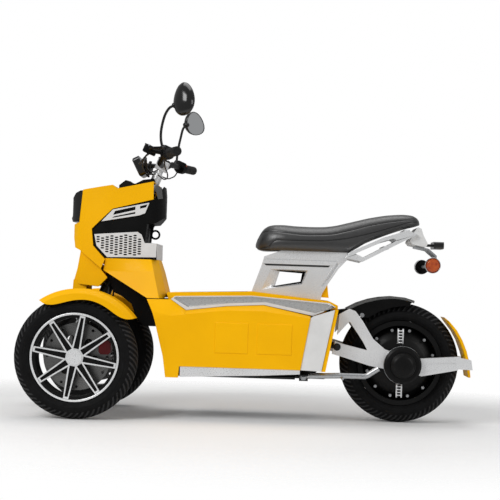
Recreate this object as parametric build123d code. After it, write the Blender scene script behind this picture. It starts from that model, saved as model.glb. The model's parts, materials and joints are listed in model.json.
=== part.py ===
from build123d import *
import os
from math import atan2, cos, degrees, hypot, radians, sin

# An electric scooter on three wheels, two in front and one behind, in millimetres.
# It stands on the floor at z 0 and faces -x, its mid-plane is y 0, and +y is its right side.

# Wheels
FRONT_AXLE_X = -647.0
REAR_AXLE_X = 592.0
TRACK = 500.0
FRONT_TYRE_R = 233.0
FRONT_TYRE_W = 90.0
REAR_TYRE_R = 236.4
REAR_TYRE_W = 120.0
BEAD_R = 152.4
FLANGE_R = 167.0
RIM_WALL = 5.0
RING_W = 9.0
SPOKES = 8
SPOKE_TURN = -10.0
SPOKE_HUB_W = 31.0
SPOKE_TIP_W = 21.0
SPOKE_LIP = 5.0
SPOKE_DEPTH = 16.0
HUB_R = 29.0
AXLE_R = 12.0
DISC_R = 128.0
DISC_T = 4.0
MOTOR_R = 118.0
MOTOR_W = 104.0

# Front end
KINGPIN_IN = 45.0
KINGPIN_R = 8.0
ARM_LOW_Z = FRONT_TYRE_R - 66
ARM_HIGH_Z = FRONT_TYRE_R + 70
ARM_R = 10.0
CRADLE_HALF = 60.0
STEER_ARM = 75.0
TIE_ROD_Z = FRONT_TYRE_R - 11
TIE_ROD_R = 8.0
UJOINT_Z = 330.0
FENDER_GAP = 21.0
FENDER_T = 4.0
FENDER_BACK = 12.0
FENDER_HALF = 62.0
STAY_R = 6.0

# Steering
RAKE = 22.5
COLUMN_R = 14.0
HEAD_TUBE_R = 24.0
BAR_R = 11.0
GRIP_R = 17.7
BAR_HALF = 360.0
CABLE_R = 3.5

# Body
HEAD_HALF = 112.0
LINER_IN = 6.0
MESH_PITCH_X = 18.0
MESH_PITCH_Z = 9.4
BODY_HALF = 200.0
CHANNEL_W = 50.0
DECK_HALF = BODY_HALF - CHANNEL_W
PANEL_DEPTH = 26.0
BODY_FRONT_X = -320.0
BODY_REAR_X = 337.0
DECK_Z = 500.0
SILL_Z = 206.0
TRAY_Z = 172.0
WALL = 4.0

# Saddle and rear end
SADDLE_HALF = 110.0
LEG_HALF = 80.0
ARM_IN = 98.0
ARM_T = 27.0
PIVOT_X = BODY_REAR_X + 2
PIVOT_Z = 296.0
PIVOT_R = 9.0
SPINE_R = 18.0
SPINE_COVER_HALF = 64.0
RAIL_R = 14.0
STAND_PIVOT = (213.0, -BODY_HALF + 50, 181.0)
STAND_LEAN = 37.9
STAND_R = 11.0
STAND_PIN_R = 8.0

# Clearances
FIT = 0.3
RUN = 0.05


# Ways of making a shape

def outline(points, corner=0.0):
    """A flat face from corner points, all of them rounded alike."""
    if corner > 0:
        return make_face(FilletPolyline(*points, radius=corner, close=True))
    return make_face(Polyline(*points, close=True))


def prism(points, y_from, y_to, corner=0.0):
    """A side view outline of (x, z) points, as thick as the two widths."""
    return thick(outline(points, corner), y_from, y_to)


def slab(points, z_from, z_to, corner=0.0):
    """A plan outline of (x, y) points, as tall as the two heights."""
    face = Plane.XY.offset(z_from) * outline(points, corner)
    return extrude(face, amount=z_to - z_from, dir=(0, 0, 1))


def turned(points, x, z):
    """A ring or shaft about an axle along y, from a section of (y, radius) points."""
    face = outline([(r, y) for y, r in points])
    return Pos(x, 0, z) * revolve(face, Axis.Y)


def rod(start, end, radius):
    """A round bar between two points."""
    run = Vector(end) - Vector(start)
    bar = Pos(0, 0, run.length / 2) * Cylinder(radius, run.length)
    return Plane(origin=start, z_dir=run) * bar


def pipe(points, radius, bend):
    """A round bar bent along a route."""
    route = FilletPolyline(*points, radius=bend)
    section = Plane(origin=route @ 0, z_dir=route % 0) * Circle(radius)
    return sweep(section, path=route)


def mirrored(part):
    """The same piece on the other side."""
    return mirror(part, about=Plane.XZ)


def pair(part):
    """A left piece with its right twin."""
    return part + mirrored(part)


def both_sides(points):
    """A plan outline from its right half, given front to back as (x, y)."""
    return points + [(x, -y) for x, y in reversed(points)]


# The steering column leans back by the rake and meets the crank's shaft over the front axle.

STEER = Plane(
    origin=(FRONT_AXLE_X, 0, UJOINT_Z),
    x_dir=(cos(radians(RAKE)), 0, -sin(radians(RAKE))),
    z_dir=(sin(radians(RAKE)), 0, cos(radians(RAKE))),
)
HEAD_TUBE_LOW = 62.0
HEAD_TUBE_TOP = 596.0
CLAMP_S = 712.0
WHEEL_Y = -TRACK / 2
KINGPIN_Y = WHEEL_Y + KINGPIN_IN


def steer(x, y, s):
    """A point given by its place along the column."""
    return STEER.from_local_coords((x, y, s))


def at_head(points):
    """Side view points of the front bodywork, given from the front axle."""
    return [(FRONT_AXLE_X + x, z) for x, z in points]


def at_rear(points):
    """Side view points given from the rear axle."""
    return [(REAR_AXLE_X + x, REAR_TYRE_R + z) for x, z in points]


def around(axle_x, radius, points):
    """Side view points round a wheel, each an angle up from the rear and a gap outside the tyre."""
    return [(axle_x + (radius + gap) * cos(radians(turn)), radius + (radius + gap) * sin(radians(turn)))
            for turn, gap in points]


def thick(face, y_from, y_to):
    """A flat face drawn in side view, as thick as the two widths."""
    return extrude(Plane.XZ.offset(-y_to) * face, amount=y_to - y_from, dir=(0, -1, 0))


# Wheels

def tyre(x, y, radius, width):
    """A tyre with a round crown, whose beads sit between the rim's flanges."""
    half = width / 2
    bead = half * 0.72
    shoulder_r = radius - half * 0.46
    shoulder_y = half * 0.86
    crown = ThreePointArc((shoulder_r, shoulder_y), (radius, 0), (shoulder_r, -shoulder_y))
    bulge_r = (FLANGE_R + shoulder_r) / 2
    wall = ThreePointArc((shoulder_r, shoulder_y), (bulge_r, half), (FLANGE_R + FIT, bead))
    seat = Polyline(
        (FLANGE_R + FIT, bead),
        (BEAD_R + FIT, bead),
        (BEAD_R + FIT, -bead),
        (FLANGE_R + FIT, -bead),
    )
    other = ThreePointArc((FLANGE_R + FIT, -bead), (bulge_r, -half), (shoulder_r, -shoulder_y))
    face = make_face([crown, wall, seat, other])
    return Pos(x, y, radius) * revolve(face, Axis.Y)


def rim_band(half, x, y, z):
    """The rim's round wall with its two flanges, which hold the tyre's beads."""
    bead = half * 0.72 + FIT
    lip = bead + RIM_WALL
    inner = BEAD_R - RIM_WALL
    points = [
        (-lip, inner), (lip, inner), (lip, FLANGE_R), (bead, FLANGE_R),
        (bead, BEAD_R), (-bead, BEAD_R), (-bead, FLANGE_R), (-lip, FLANGE_R),
    ]
    return Pos(0, y, 0) * turned(points, x, z)


def spoke_wedge(root_r, tip_r, root_w, tip_w, y_from, y_to):
    """A bar that narrows from the hub to the rim, drawn along +x."""
    points = [
        (root_r, -root_w / 2), (tip_r, -tip_w / 2), (tip_r, tip_w / 2), (root_r, root_w / 2),
    ]
    return prism(points, y_from, y_to)


def front_rim():
    """The left rim: eight grooved spokes at its outer face, and the hub behind them."""
    lip = FRONT_TYRE_W / 2 * 0.72 + FIT + RIM_WALL
    face_y = -lip + 1
    back_y = face_y + SPOKE_DEPTH
    inner = BEAD_R - RIM_WALL
    wheel = rim_band(FRONT_TYRE_W / 2, 0, 0, 0)
    step_r = FLANGE_R - RING_W
    step_y = -lip + 3
    wheel -= turned([(-lip - 1, inner - 1), (-lip - 1, step_r), (step_y, step_r), (step_y, inner - 1)], 0, 0)
    for k in range(SPOKES):
        turn = Rot(0, -(SPOKE_TURN + k * 360 / SPOKES), 0)
        wheel += turn * spoke_wedge(HUB_R - 6, inner + 2, SPOKE_HUB_W + 3, SPOKE_TIP_W, face_y, back_y)
        wheel += turn * spoke_wedge(inner, step_r + 1, SPOKE_TIP_W, SPOKE_TIP_W, face_y, step_y + 1)
    hub_end = KINGPIN_IN - 24
    wheel += turned([(face_y - 2, 0), (hub_end, 0), (hub_end, HUB_R), (face_y - 2, HUB_R)], 0, 0)
    for k in range(SPOKES):
        turn = Rot(0, -(SPOKE_TURN + k * 360 / SPOKES), 0)
        groove_hub = SPOKE_HUB_W - 2 * SPOKE_LIP
        groove_tip = SPOKE_TIP_W - 2 * SPOKE_LIP
        wheel -= turn * spoke_wedge(HUB_R + 4, step_r - 8, groove_hub, groove_tip, face_y - 1, face_y + 6)
    bore_end = face_y + 8
    wheel -= turned([(bore_end, 0), (60, 0), (60, AXLE_R + RUN), (bore_end, AXLE_R + RUN)], 0, 0)
    return Pos(FRONT_AXLE_X, WHEEL_Y, FRONT_TYRE_R) * wheel


def front_disc():
    """The left brake disc, drilled, against the hub's inner end."""
    start = KINGPIN_IN - 24
    disc = turned([(start, AXLE_R + 2), (start + DISC_T, AXLE_R + 2),
                   (start + DISC_T, DISC_R), (start, DISC_R)], 0, 0)
    hole = Pos(DISC_R - 14, start + DISC_T / 2, 0) * Rot(90, 0, 0) * Cylinder(5, DISC_T * 3)
    window = Pos(66, start + DISC_T / 2, 0) * Rot(90, 0, 0) * Cylinder(17, DISC_T * 3)
    for k in range(12):
        disc -= Rot(0, k * 30, 0) * hole
    for k in range(6):
        disc -= Rot(0, k * 60 + 10, 0) * window
    return Pos(FRONT_AXLE_X, WHEEL_Y, FRONT_TYRE_R) * disc


def rear_motor():
    """The rear rim, one piece with the hub motor that fills it."""
    half = REAR_TYRE_W / 2
    wheel = rim_band(half, REAR_AXLE_X, 0, REAR_TYRE_R)
    drum = MOTOR_W / 2
    wheel += turned([
        (-drum, 0), (drum, 0), (drum, 96), (drum - 12, MOTOR_R), (12, BEAD_R - 2),
        (-12, BEAD_R - 2), (-drum + 12, MOTOR_R), (-drum, 96),
    ], REAR_AXLE_X, REAR_TYRE_R)
    bore = Pos(REAR_AXLE_X, 0, REAR_TYRE_R) * Rot(90, 0, 0) * Cylinder(AXLE_R + RUN, MOTOR_W * 2)
    return wheel - bore


# Front suspension and knuckles, left side

def knuckle():
    """The upright that turns on the kingpin, with its stub axle, steering arm and brackets."""
    axle_z = FRONT_TYRE_R
    low = ARM_LOW_Z + 18
    high = ARM_HIGH_Z - 18
    x = FRONT_AXLE_X
    y = KINGPIN_Y
    body = Pos(x, y, (low + high) / 2) * Cylinder(18, high - low)
    body += Pos(x, y - 4, axle_z) * Box(46, 20, 62)
    body += rod((x, y, axle_z), (x, WHEEL_Y - 24, axle_z), AXLE_R)
    arm_end = x + STEER_ARM
    body += Pos((x + arm_end) / 2, y, TIE_ROD_Z) * Box(STEER_ARM, 16, 12)
    body += Pos(arm_end, y, TIE_ROD_Z) * Cylinder(13, 12)
    stay_y = WHEEL_Y + FENDER_HALF + STAY_R + FIT
    top = axle_z + FRONT_TYRE_R
    body += rod((x + 4, y, axle_z + 26), (x + 42, y + 2, axle_z + 26), 9)
    body += pipe([(x + 42, y + 2, axle_z + 24), (x + 42, y + 2, high + 38), (x + 30, stay_y, high + 68),
                  (x + 20, stay_y, top)], STAY_R, 12)
    body += prism([(x + 10, axle_z + 8), (x + 92, axle_z + 12), (x + 112, axle_z + 40), (x + 92, axle_z + 60),
                   (x + 10, axle_z + 36)], y + FIT, y + 8)
    body -= Pos(x, y, axle_z) * Cylinder(KINGPIN_R + RUN, 200)
    body -= Pos(arm_end, y, TIE_ROD_Z) * Cylinder(5 + RUN, 40)
    return body


def caliper():
    """The brake caliper, which straddles the disc behind the axle."""
    block = Pos(FRONT_AXLE_X + 106, WHEEL_Y + KINGPIN_IN - 22, FRONT_TYRE_R + 38) * Box(46, 44, 52)
    block = chamfer(block.edges().filter_by(Axis.Y), 9)
    slot = turned([(KINGPIN_IN - 24 - 3, 0), (KINGPIN_IN - 24 + DISC_T + 3, 0),
                   (KINGPIN_IN - 24 + DISC_T + 3, DISC_R + 4), (KINGPIN_IN - 24 - 3, DISC_R + 4)],
                  FRONT_AXLE_X, FRONT_TYRE_R)
    return block - Pos(0, WHEEL_Y, 0) * slot


def fender():
    """The leaf shaped mudguard over a front wheel, cut from a ring with side skirts."""
    inner = FRONT_TYRE_R + FENDER_GAP
    outer = inner + FENDER_T
    half = FENDER_HALF
    low = FRONT_TYRE_R - 43
    ring = turned([(-half, low), (-half + FENDER_T, low), (-half + FENDER_T, inner - 16),
                   (-half + 22, inner), (half - 22, inner), (half - FENDER_T, inner - 16),
                   (half - FENDER_T, low), (half, low), (half, inner - 14), (half - 22, outer),
                   (-half + 22, outer), (-half, inner - 14)], FRONT_AXLE_X + FENDER_BACK, FRONT_TYRE_R)
    edge = around(FRONT_AXLE_X, FRONT_TYRE_R, [(122, 8), (116, -17), (106, -25), (92, -20),
                                               (74, -11), (55, -10), (45, -6), (38, 10), (34.5, 42)])
    sky = around(FRONT_AXLE_X, FRONT_TYRE_R, [(40, 80), (80, 80), (116, 60), (124, 22)])
    leaf = make_face([Spline(*edge), Polyline(edge[-1], *sky, edge[0])])
    return (Pos(0, WHEEL_Y, 0) * ring) & thick(leaf, WHEEL_Y - half - 5, WHEEL_Y + half + 5)


def suspension():
    """The left pair of wishbones with the kingpin they hold, and the shock absorber above."""
    x = FRONT_AXLE_X
    y = KINGPIN_Y
    side = Part()
    for z, spread, drop in ((ARM_LOW_Z, 46, 0), (ARM_HIGH_Z, 38, 8)):
        side += Pos(x, y, z) * Cylinder(17, 34)
        for turn in (-1, 1):
            root = (x + turn * spread, -CRADLE_HALF - 12 - FIT, z + drop)
            side += rod(root, (x, y, z), ARM_R)
            side += Pos(*root) * Rot(0, 90, 0) * Cylinder(12, 28)
    foot = (x, y + 56, ARM_HIGH_Z + 4)
    head = (x, -CRADLE_HALF - 24, 452)
    side -= Pos(x, y, FRONT_TYRE_R) * Box(60, 60, 2 * (FRONT_TYRE_R - ARM_LOW_Z) - 34)
    side += Pos(x, y, (ARM_LOW_Z + ARM_HIGH_Z) / 2) * Cylinder(KINGPIN_R, ARM_HIGH_Z - ARM_LOW_Z)
    side += rod(foot, head, 7)
    span = Vector(head) - Vector(foot)
    unit = span.normalized()
    side += rod(Vector(foot) + unit * 22, Vector(head) - unit * 12, 23)
    side += rod(head, (x, -CRADLE_HALF, 452), 9)
    return side


def steering_crank():
    """The upright shaft under the column, with the arm that moves the tie rod."""
    x = FRONT_AXLE_X
    low = ARM_LOW_Z - 17
    shaft = Pos(x, 0, (low + UJOINT_Z) / 2) * Cylinder(10, UJOINT_Z - low)
    shaft += Pos(x, 0, UJOINT_Z) * Sphere(11)
    shaft += Pos(x + STEER_ARM / 2, 0, TIE_ROD_Z) * Box(STEER_ARM, 18, 12)
    shaft += Pos(x, 0, TIE_ROD_Z) * Cylinder(18, 20)
    shaft += Pos(x + STEER_ARM, 0, TIE_ROD_Z) * Cylinder(12, 12)
    return shaft - Pos(x + STEER_ARM, 0, TIE_ROD_Z) * Cylinder(5 + RUN, 40)


def tie_rod():
    """One rod across the car, pinned to the crank and to both steering arms."""
    x = FRONT_AXLE_X + STEER_ARM
    z = TIE_ROD_Z - 6 - FIT - 10
    bar = rod((x, KINGPIN_Y - 12, z), (x, -KINGPIN_Y + 12, z), TIE_ROD_R)
    for y in (KINGPIN_Y, 0, -KINGPIN_Y):
        bar += Pos(x, y, z) * Cylinder(12, 20)
        bar += Pos(x, y, TIE_ROD_Z - 2) * Cylinder(5, 20)
    return bar


# Frame

def spine_route():
    """The spine tube's route from the head tube down to the tray."""
    return [(FRONT_AXLE_X + 72, 0, 524), (FRONT_AXLE_X + 145, 0, 504), (BODY_FRONT_X - 110, 0, 442),
            (BODY_FRONT_X + 30, 0, 330), (BODY_FRONT_X + 70, 0, TRAY_Z)]


def main_frame():
    """The welded frame: front cradle, head tube, spine, battery tray and the rear uprights."""
    x = FRONT_AXLE_X
    foot = ARM_LOW_Z - 27
    cheek = prism([(x - 52, foot), (x + 47, foot), (x + 47, 330), (x + 62, 470), (x - 14, 470),
                   (x - 52, 330)],
                  -CRADLE_HALF, -CRADLE_HALF + 8)
    frame = pair(cheek)
    inner = CRADLE_HALF - 8
    for z in (foot + 6, ARM_HIGH_Z - 21):
        frame += Pos(x, 0, z) * Box(94, 2 * inner + 2, 12)
    frame += Pos(x + 24, 0, 446) * Box(64, 2 * inner + 2, 40)
    tube = Pos(0, 0, (HEAD_TUBE_LOW + HEAD_TUBE_TOP) / 2)
    tube = tube * Cylinder(HEAD_TUBE_R, HEAD_TUBE_TOP - HEAD_TUBE_LOW)
    frame += STEER * tube
    frame += pipe(spine_route(), SPINE_R, 45)
    frame += rod((x + 128, 0, 640), spine_route()[2], 16)
    mid = (HEAD_TUBE_LOW + HEAD_TUBE_TOP) / 2 + 101
    half = HEAD_HALF - LINER_IN - WALL - FIT
    frame += rod(steer(0, -half, mid), steer(0, half, mid), 9)
    wide = BODY_HALF - PANEL_DEPTH - FIT
    right = [(BODY_FRONT_X + 18, wide), (180, wide), (180, 110), (BODY_REAR_X - 42, 110)]
    frame += slab(both_sides(right), TRAY_Z - 4, TRAY_Z + 4)
    for y in (-70, 70):
        route = [(BODY_FRONT_X + 40, y, TRAY_Z + 16), (BODY_REAR_X - 79, y, TRAY_Z + 16),
                 (BODY_REAR_X - 35, y, DECK_Z - 44)]
        frame += pipe(route, RAIL_R, 40)
    frame += prism([(20, DECK_Z - 10.6), (BODY_REAR_X - 37, DECK_Z - 38.3), (BODY_REAR_X - 37, DECK_Z - 46),
                    (20, DECK_Z - 18)], -DECK_HALF + 8, DECK_HALF - 8)
    frame += pair(prism([(22, TRAY_Z), (46, TRAY_Z), (46, DECK_Z - 14), (22, DECK_Z - 14)],
                        -DECK_HALF + 8, -DECK_HALF + 15))
    frame += rod((BODY_REAR_X - 61, -78, PIVOT_Z), (BODY_REAR_X - 61, 78, PIVOT_Z), 15)
    frame += rod((BODY_REAR_X - 61, 0, PIVOT_Z), (PIVOT_X, 0, PIVOT_Z), 13)
    frame += rod((PIVOT_X, -ARM_IN, PIVOT_Z), (PIVOT_X, ARM_IN, PIVOT_Z), 15)
    end = ARM_IN + ARM_T + 4
    frame += rod((PIVOT_X, -end, PIVOT_Z), (PIVOT_X, end, PIVOT_Z), PIVOT_R)
    frame += stand_bracket()
    frame -= Pos(x, 0, foot + 60) * Cylinder(10 + RUN, 180)
    frame -= STEER * Pos(0, 0, 330) * Cylinder(COLUMN_R + RUN, 660)
    return frame


STAND = Plane(
    origin=STAND_PIVOT,
    x_dir=(1, 0, 0),
    z_dir=(0, cos(radians(90 - STAND_LEAN)), -sin(radians(90 - STAND_LEAN))),
)


def stand_bracket():
    """Two cheeks and a pin that carry the side stand."""
    cheek = Box(34, 55, 6)
    body = STAND * Pos(0, -15.5, 12.3) * cheek
    body += STAND * Pos(0, -15.5, -12.3) * cheek
    body += STAND * Pos(0, -36, 0) * Box(34, 30, 24)
    px, py, pz = STAND_PIVOT
    body += rod((px, py + 34, pz + 24), (px, -70, TRAY_Z + 16), 11)
    body += STAND * Cylinder(STAND_PIN_R, 30)
    return body


def side_stand():
    """The side stand, folded back along the floor, with its tang and curved foot."""
    px, py, pz = STAND_PIVOT
    eye = STAND * Cylinder(15, 17.4)
    eye += rod(STAND_PIVOT, (px + 30, py, pz + 1), 8.5)
    leg = pipe([(px + 24, py, pz + 1), (px + 142, py, pz + 6), (px + 240, py, pz + 6),
                (px + 288, py - 4, pz + 38)],
               STAND_R, 34)
    leg += rod((px + 142, py, pz + 6), (px + 150, py - 20, pz - 6), 5)
    body = leg + eye
    return body - STAND * Cylinder(STAND_PIN_R + RUN, 60)


def battery_pack():
    """The battery, one plain block on the tray."""
    low = TRAY_Z + 16 + RAIL_R + FIT
    high = DECK_Z - 54
    return Pos(-10, 0, (low + high) / 2) * Box(400, 260, high - low)


# Floor body

RIM_LOW = [(BODY_FRONT_X + 15, 461), (BODY_FRONT_X + 74, 421), (-91, 441), (51, 450), (BODY_REAR_X - 95, 414)]


def side_panel():
    """The left outer panel, hollow behind, which turns in above its crease, with two raised fields."""
    front = BODY_FRONT_X
    low = [(front - 42, 378), (front - 32, 338), (front - 7, 243), (front + 5, 163), (front + 53, 163),
           (front + 57, SILL_Z), (BODY_REAR_X - 138, SILL_Z)]
    crease = [(BODY_REAR_X - 105, 405), (51, 426), (-91, 425), (front + 74, 406), (front + 19, 397),
              (front - 52, 412)]
    top = [(BODY_REAR_X - 105, 413)] + [(x, z - 1) for x, z in reversed(RIM_LOW[:-1])] + [(front - 78, 459)]
    deep = BODY_HALF - PANEL_DEPTH

    def form(face_y, back_y, inset):
        faces = []
        for y, edge in ((face_y, crease), (back_y, top)):
            flat = outline(low + edge)
            if inset:
                flat = offset(flat, amount=-inset, kind=Kind.INTERSECTION)
            faces.append(Plane.XZ.offset(y) * flat)
        return loft(faces, ruled=True)

    panel = form(BODY_HALF, deep, 0) - form(BODY_HALF - WALL, deep - 1, WALL)
    for left, right in ((-131, -3), (30, 164)):
        field = chamfer(Box(right - left, 6, 118).faces().sort_by(Axis.Y)[0].edges(), 2.5)
        panel += Pos((left + right) / 2, -BODY_HALF + 0.5, 320) * field
    return panel


def channel_trim():
    """The left bright trim along the edge of the deck, hollowed to a trough above its lower rim."""
    top = [(BODY_REAR_X - 10, 450), (BODY_REAR_X - 33, 465), (4, 484), (BODY_FRONT_X + 30, 473)]
    outer = -BODY_HALF + PANEL_DEPTH + FIT
    trim = prism(RIM_LOW + top, outer, -DECK_HALF - FIT)
    rim = [(x + 8, z + 11) for x, z in RIM_LOW[1:]]
    trough = [(BODY_FRONT_X + 26, 464)] + rim + [(x - 8, z - 3) for x, z in top[:2]] + [(x, z - 3) for x,
                                                                                        z in top[2:]]
    low = Plane.XZ.offset(-outer + 1) * outline(trough)
    back = Plane.XZ.offset(-outer - 14) * outline([(x + 2 if x < 0 else x - 2, z + (4 if z < 455 else -1))
                                                  for x, z in trough])
    return trim - loft([low, back], ruled=True)


def rear_panel():
    """The left pale panel behind the outer panel."""
    points = [(BODY_REAR_X - 137.6, SILL_Z), (BODY_REAR_X - 57.6, SILL_Z - 3), (BODY_REAR_X - 12.8, 440),
              (BODY_REAR_X - 94.6, 413), (BODY_REAR_X - 104.6, 405)]
    return prism(points, -BODY_HALF + 3, -BODY_HALF + 12)


def sill():
    """The left bright sill under the outer panel."""
    points = [(BODY_FRONT_X + 60, 166), (60, 181), (BODY_REAR_X - 139, 190),
              (BODY_REAR_X - 139, SILL_Z - FIT), (BODY_FRONT_X + 60, SILL_Z - FIT)]
    return prism(points, -BODY_HALF + 2, -BODY_HALF + 24 - FIT)


def floor_cover():
    """The raised middle of the floor, open below, over the battery, with a bed for the mat."""
    top = [(BODY_FRONT_X - 6.4, 486), (7, DECK_Z), (BODY_REAR_X - 31, 471), (BODY_REAR_X, 456)]
    shape = prism(top + [(BODY_REAR_X, 440.3), (BODY_REAR_X - 40, 440.3), (BODY_REAR_X - 60, 410),
                         (BODY_FRONT_X + 20, 410)], -DECK_HALF, DECK_HALF)
    under = [(BODY_FRONT_X - 12, 476.5), (7, DECK_Z - 9), (BODY_REAR_X - 31, 462), (BODY_REAR_X - 6, 451)]
    cut = prism(under + [(BODY_REAR_X - 6, 380), (BODY_FRONT_X - 12, 380)], -DECK_HALF + WALL,
                DECK_HALF - WALL)
    bed = prism(mat_outline(0), -DECK_HALF + 18, DECK_HALF - 18)
    return shape - cut - bed


def mat_outline(clear):
    """The mat's side view, a clearance smaller than its bed."""
    front = BODY_FRONT_X + 40 + clear
    return [(front, 483.2 + clear), (-20 - clear, 494 + clear), (-20 - clear, 510 - 2 * clear),
            (front, 510 - 2 * clear)]


def foot_mat():
    """The ribbed rubber mat, laid flush into its bed in the floor."""
    mat = prism(mat_outline(FIT), -DECK_HALF + 18 + FIT, DECK_HALF - 18 - FIT)
    above = prism([(BODY_FRONT_X - 6.4, 486), (7, DECK_Z), (7, 560), (BODY_FRONT_X - 6.4, 560)],
                  -DECK_HALF, DECK_HALF)
    return mat - above


def rear_closure():
    """The yellow wall that closes the floor body behind."""
    wall = prism([(BODY_REAR_X - 57, SILL_Z - 4), (BODY_REAR_X - 42, SILL_Z - 4), (BODY_REAR_X + 1, 440),
                  (BODY_REAR_X - 12, 440)], -BODY_HALF + 8, BODY_HALF - 8)
    return wall - Pos(BODY_REAR_X - 30, 0, PIVOT_Z) * Rot(0, 90, 0) * Cylinder(15, 80)


def wheel_arch_liner():
    """The black wall behind the front wheels."""
    f = BODY_FRONT_X
    half = BODY_HALF - PANEL_DEPTH - FIT
    wall = prism([(f - 75, 461.6), (f - 53, 415), (f - 31, 338), (f - 6, 243), (f + 6, 168), (f + 13, 168),
                  (f + 2, 243), (f - 22, 338), (f - 43, 418), (f - 64, 461.6)], -half, half)
    wall -= prism([(f - 40, 470), (f - 10, 340), (f + 40, 340), (f + 40, 470)], -BODY_HALF, BODY_HALF)
    return wall - pipe(spine_route(), SPINE_R + 3, 45)


# Front bodywork

def head_plan(inset):
    """The head's plan outline, rounded at the nose, drawn in by an inset."""
    right = [(-64, 30), (-60, 48), (-51, 62), (-38, 80), (-12, 97), (60, HEAD_HALF), (300, HEAD_HALF)]
    return both_sides([(FRONT_AXLE_X + x + inset, y - inset) for x, y in right])


def head_fairing():
    """The yellow hood round the lamp, in side view a C, with a wall all round."""
    c_form = at_head([(-24, 876), (95, 897), (112, 883), (254, 915), (255, 845), (98, 804), (17, 724),
                      (25, 658), (74, 607), (59, 571), (-30, 640), (-53, 650), (-61, 692),
                      (-63, 740), (-36, 750)])
    void = at_head([(-31, 744), (-19, 871), (95, 892), (112, 878), (290, 919), (290, 560), (56, 560),
                    (-26, 645), (-48, 655), (-56, 692), (-58, 740)])
    hood = prism(c_form, -HEAD_HALF, HEAD_HALF) & slab(head_plan(0), 550, 940)
    hood -= prism(void, -HEAD_HALF, HEAD_HALF) & slab(head_plan(LINER_IN - FIT), 540, 950)
    return hood - STEER * Pos(0, 0, 600) * Cylinder(HEAD_TUBE_R + 6, 200)


def lens_window(clear):
    """The lens opening's round cornered block, drawn in by a clearance."""
    block = Box(60, 108 - 2 * clear, 88 - 2 * clear)
    return Pos(FRONT_AXLE_X - 88, 0, 808) * fillet(block.edges().filter_by(Axis.X), 16 - clear)


def headlamp():
    """The lamp's black housing in the nose, with a pocket for the lens."""
    shape = prism(at_head([(-24.3, 873.5), (-34, 873), (-54, 864), (-69, 842), (-77, 806), (-76, 772),
                           (-66, 750.4), (-36.3, 750.4)]), -92, 92)
    plan = both_sides([(FRONT_AXLE_X - 78, 22), (FRONT_AXLE_X - 72, 46), (FRONT_AXLE_X - 60, 66),
                       (FRONT_AXLE_X - 40, 82), (FRONT_AXLE_X - 8, 90)])
    lamp = shape & slab(plan, 740, 880)
    return lamp - lens_window(0)


def headlamp_lens():
    """The lamp's clear lens, curved across, set into the housing."""
    front = Pos(FRONT_AXLE_X + 72, 0, 0) * Cylinder(146, 400)
    back = Pos(FRONT_AXLE_X + 72, 0, 0) * Cylinder(141, 420)
    return lens_window(FIT) & (Pos(0, 0, 800) * (front - back))


def dash_plan(inset):
    """The head's plan with the dash rounded off behind, drawn in by an inset."""
    nose = head_plan(inset)[:6]
    dash = [(250, HEAD_HALF), (270, 94), (286, 70), (299, 40)]
    return both_sides(nose + [(FRONT_AXLE_X + x - inset, y - inset) for x, y in dash])


def inner_fairing():
    """The black inner body that carries the side grilles and faces the rider."""
    form = at_head([(17.5, 724), (98.3, 803.5), (254.5, 844.4), (288, 902), (298, 832),
                    (299, 783), (264, 753),
                    (233, 751), (226, 676), (273, 674), (274, 611.4), (74, 611.4), (25.5, 658)])
    void = at_head([(26, 722), (100, 795), (252, 836), (286, 896), (293, 832), (294, 785),
                    (262, 758), (228, 756), (221, 671), (268, 669), (269, 600), (80, 600), (36, 660)])

    def inside(inset):
        return slab(dash_plan(inset), 747, 960) + slab(head_plan(inset), 590, 750)

    body = prism(form, -HEAD_HALF, HEAD_HALF) & inside(LINER_IN)
    body -= prism(void, -HEAD_HALF, HEAD_HALF) & inside(LINER_IN + WALL)
    return body - STEER * Pos(0, 0, 560) * Cylinder(HEAD_TUBE_R + 4, 240)


def side_plate(points, proud):
    """A thin plate on the left of the inner fairing, which follows the head's plan."""
    plate = prism(at_head(points), -HEAD_HALF, -20) & slab(head_plan(proud), 590, 860)
    return plate - slab(head_plan(LINER_IN - FIT), 580, 870)


def louvre_panel():
    """The left pale panel with its long slots."""
    panel = side_plate([(55, 753), (99, 801), (240, 832), (224, 790), (201, 781)], 0)
    for slot in ([(100, 780), (107, 795), (186, 815), (186, 802)],
                 [(97, 768), (104, 774), (186, 794), (186, 787)],
                 [(204, 807), (204, 817), (233, 825), (227, 813)]):
        panel -= prism(at_head(slot), -HEAD_HALF - 1, -80)
    return panel


def dash_trim():
    """The left pale strip that edges the dash."""
    strip = prism(at_head([(257, 902), (281, 896), (285, 852), (270, 848)]), -HEAD_HALF, -30)
    return (strip & slab(dash_plan(LINER_IN - 4), 800, 960)) - slab(dash_plan(LINER_IN - FIT), 790, 970)


def slot_rows():
    """The grille's slot centres, in staggered columns within its frame."""
    places = []
    for column in range(11):
        for row in range(11):
            x = 44 + column * MESH_PITCH_X
            z = 627 + row * MESH_PITCH_Z + (column % 2) * MESH_PITCH_Z / 2
            inside_front = x + z > 712
            inside_top = z < 694 + (x - 28) * 0.083
            inside_rear = x < 214 - max(0, z - 668) * 0.38
            if inside_front and inside_top and inside_rear:
                places.append((x, z))
    return places


def mesh_grille():
    """The left pale grille, a field of flat hexagonal slots, with the plain block behind it."""
    plate = side_plate([(28, 703), (197, 717), (213, 707), (226, 674.4), (273, 674), (272, 620), (82, 615),
                        (38, 659)], 2)
    long, short, high = MESH_PITCH_X * 0.42, MESH_PITCH_X * 0.24, MESH_PITCH_Z * 0.3
    slots = []
    for x, z in slot_rows():
        hexagon = [(x - long, z), (x - short, z - high), (x + short, z - high),
                   (x + long, z), (x + short, z + high), (x - short, z + high)]
        slots.append(prism(at_head(hexagon), -HEAD_HALF, -70))
    return plate - slots


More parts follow.
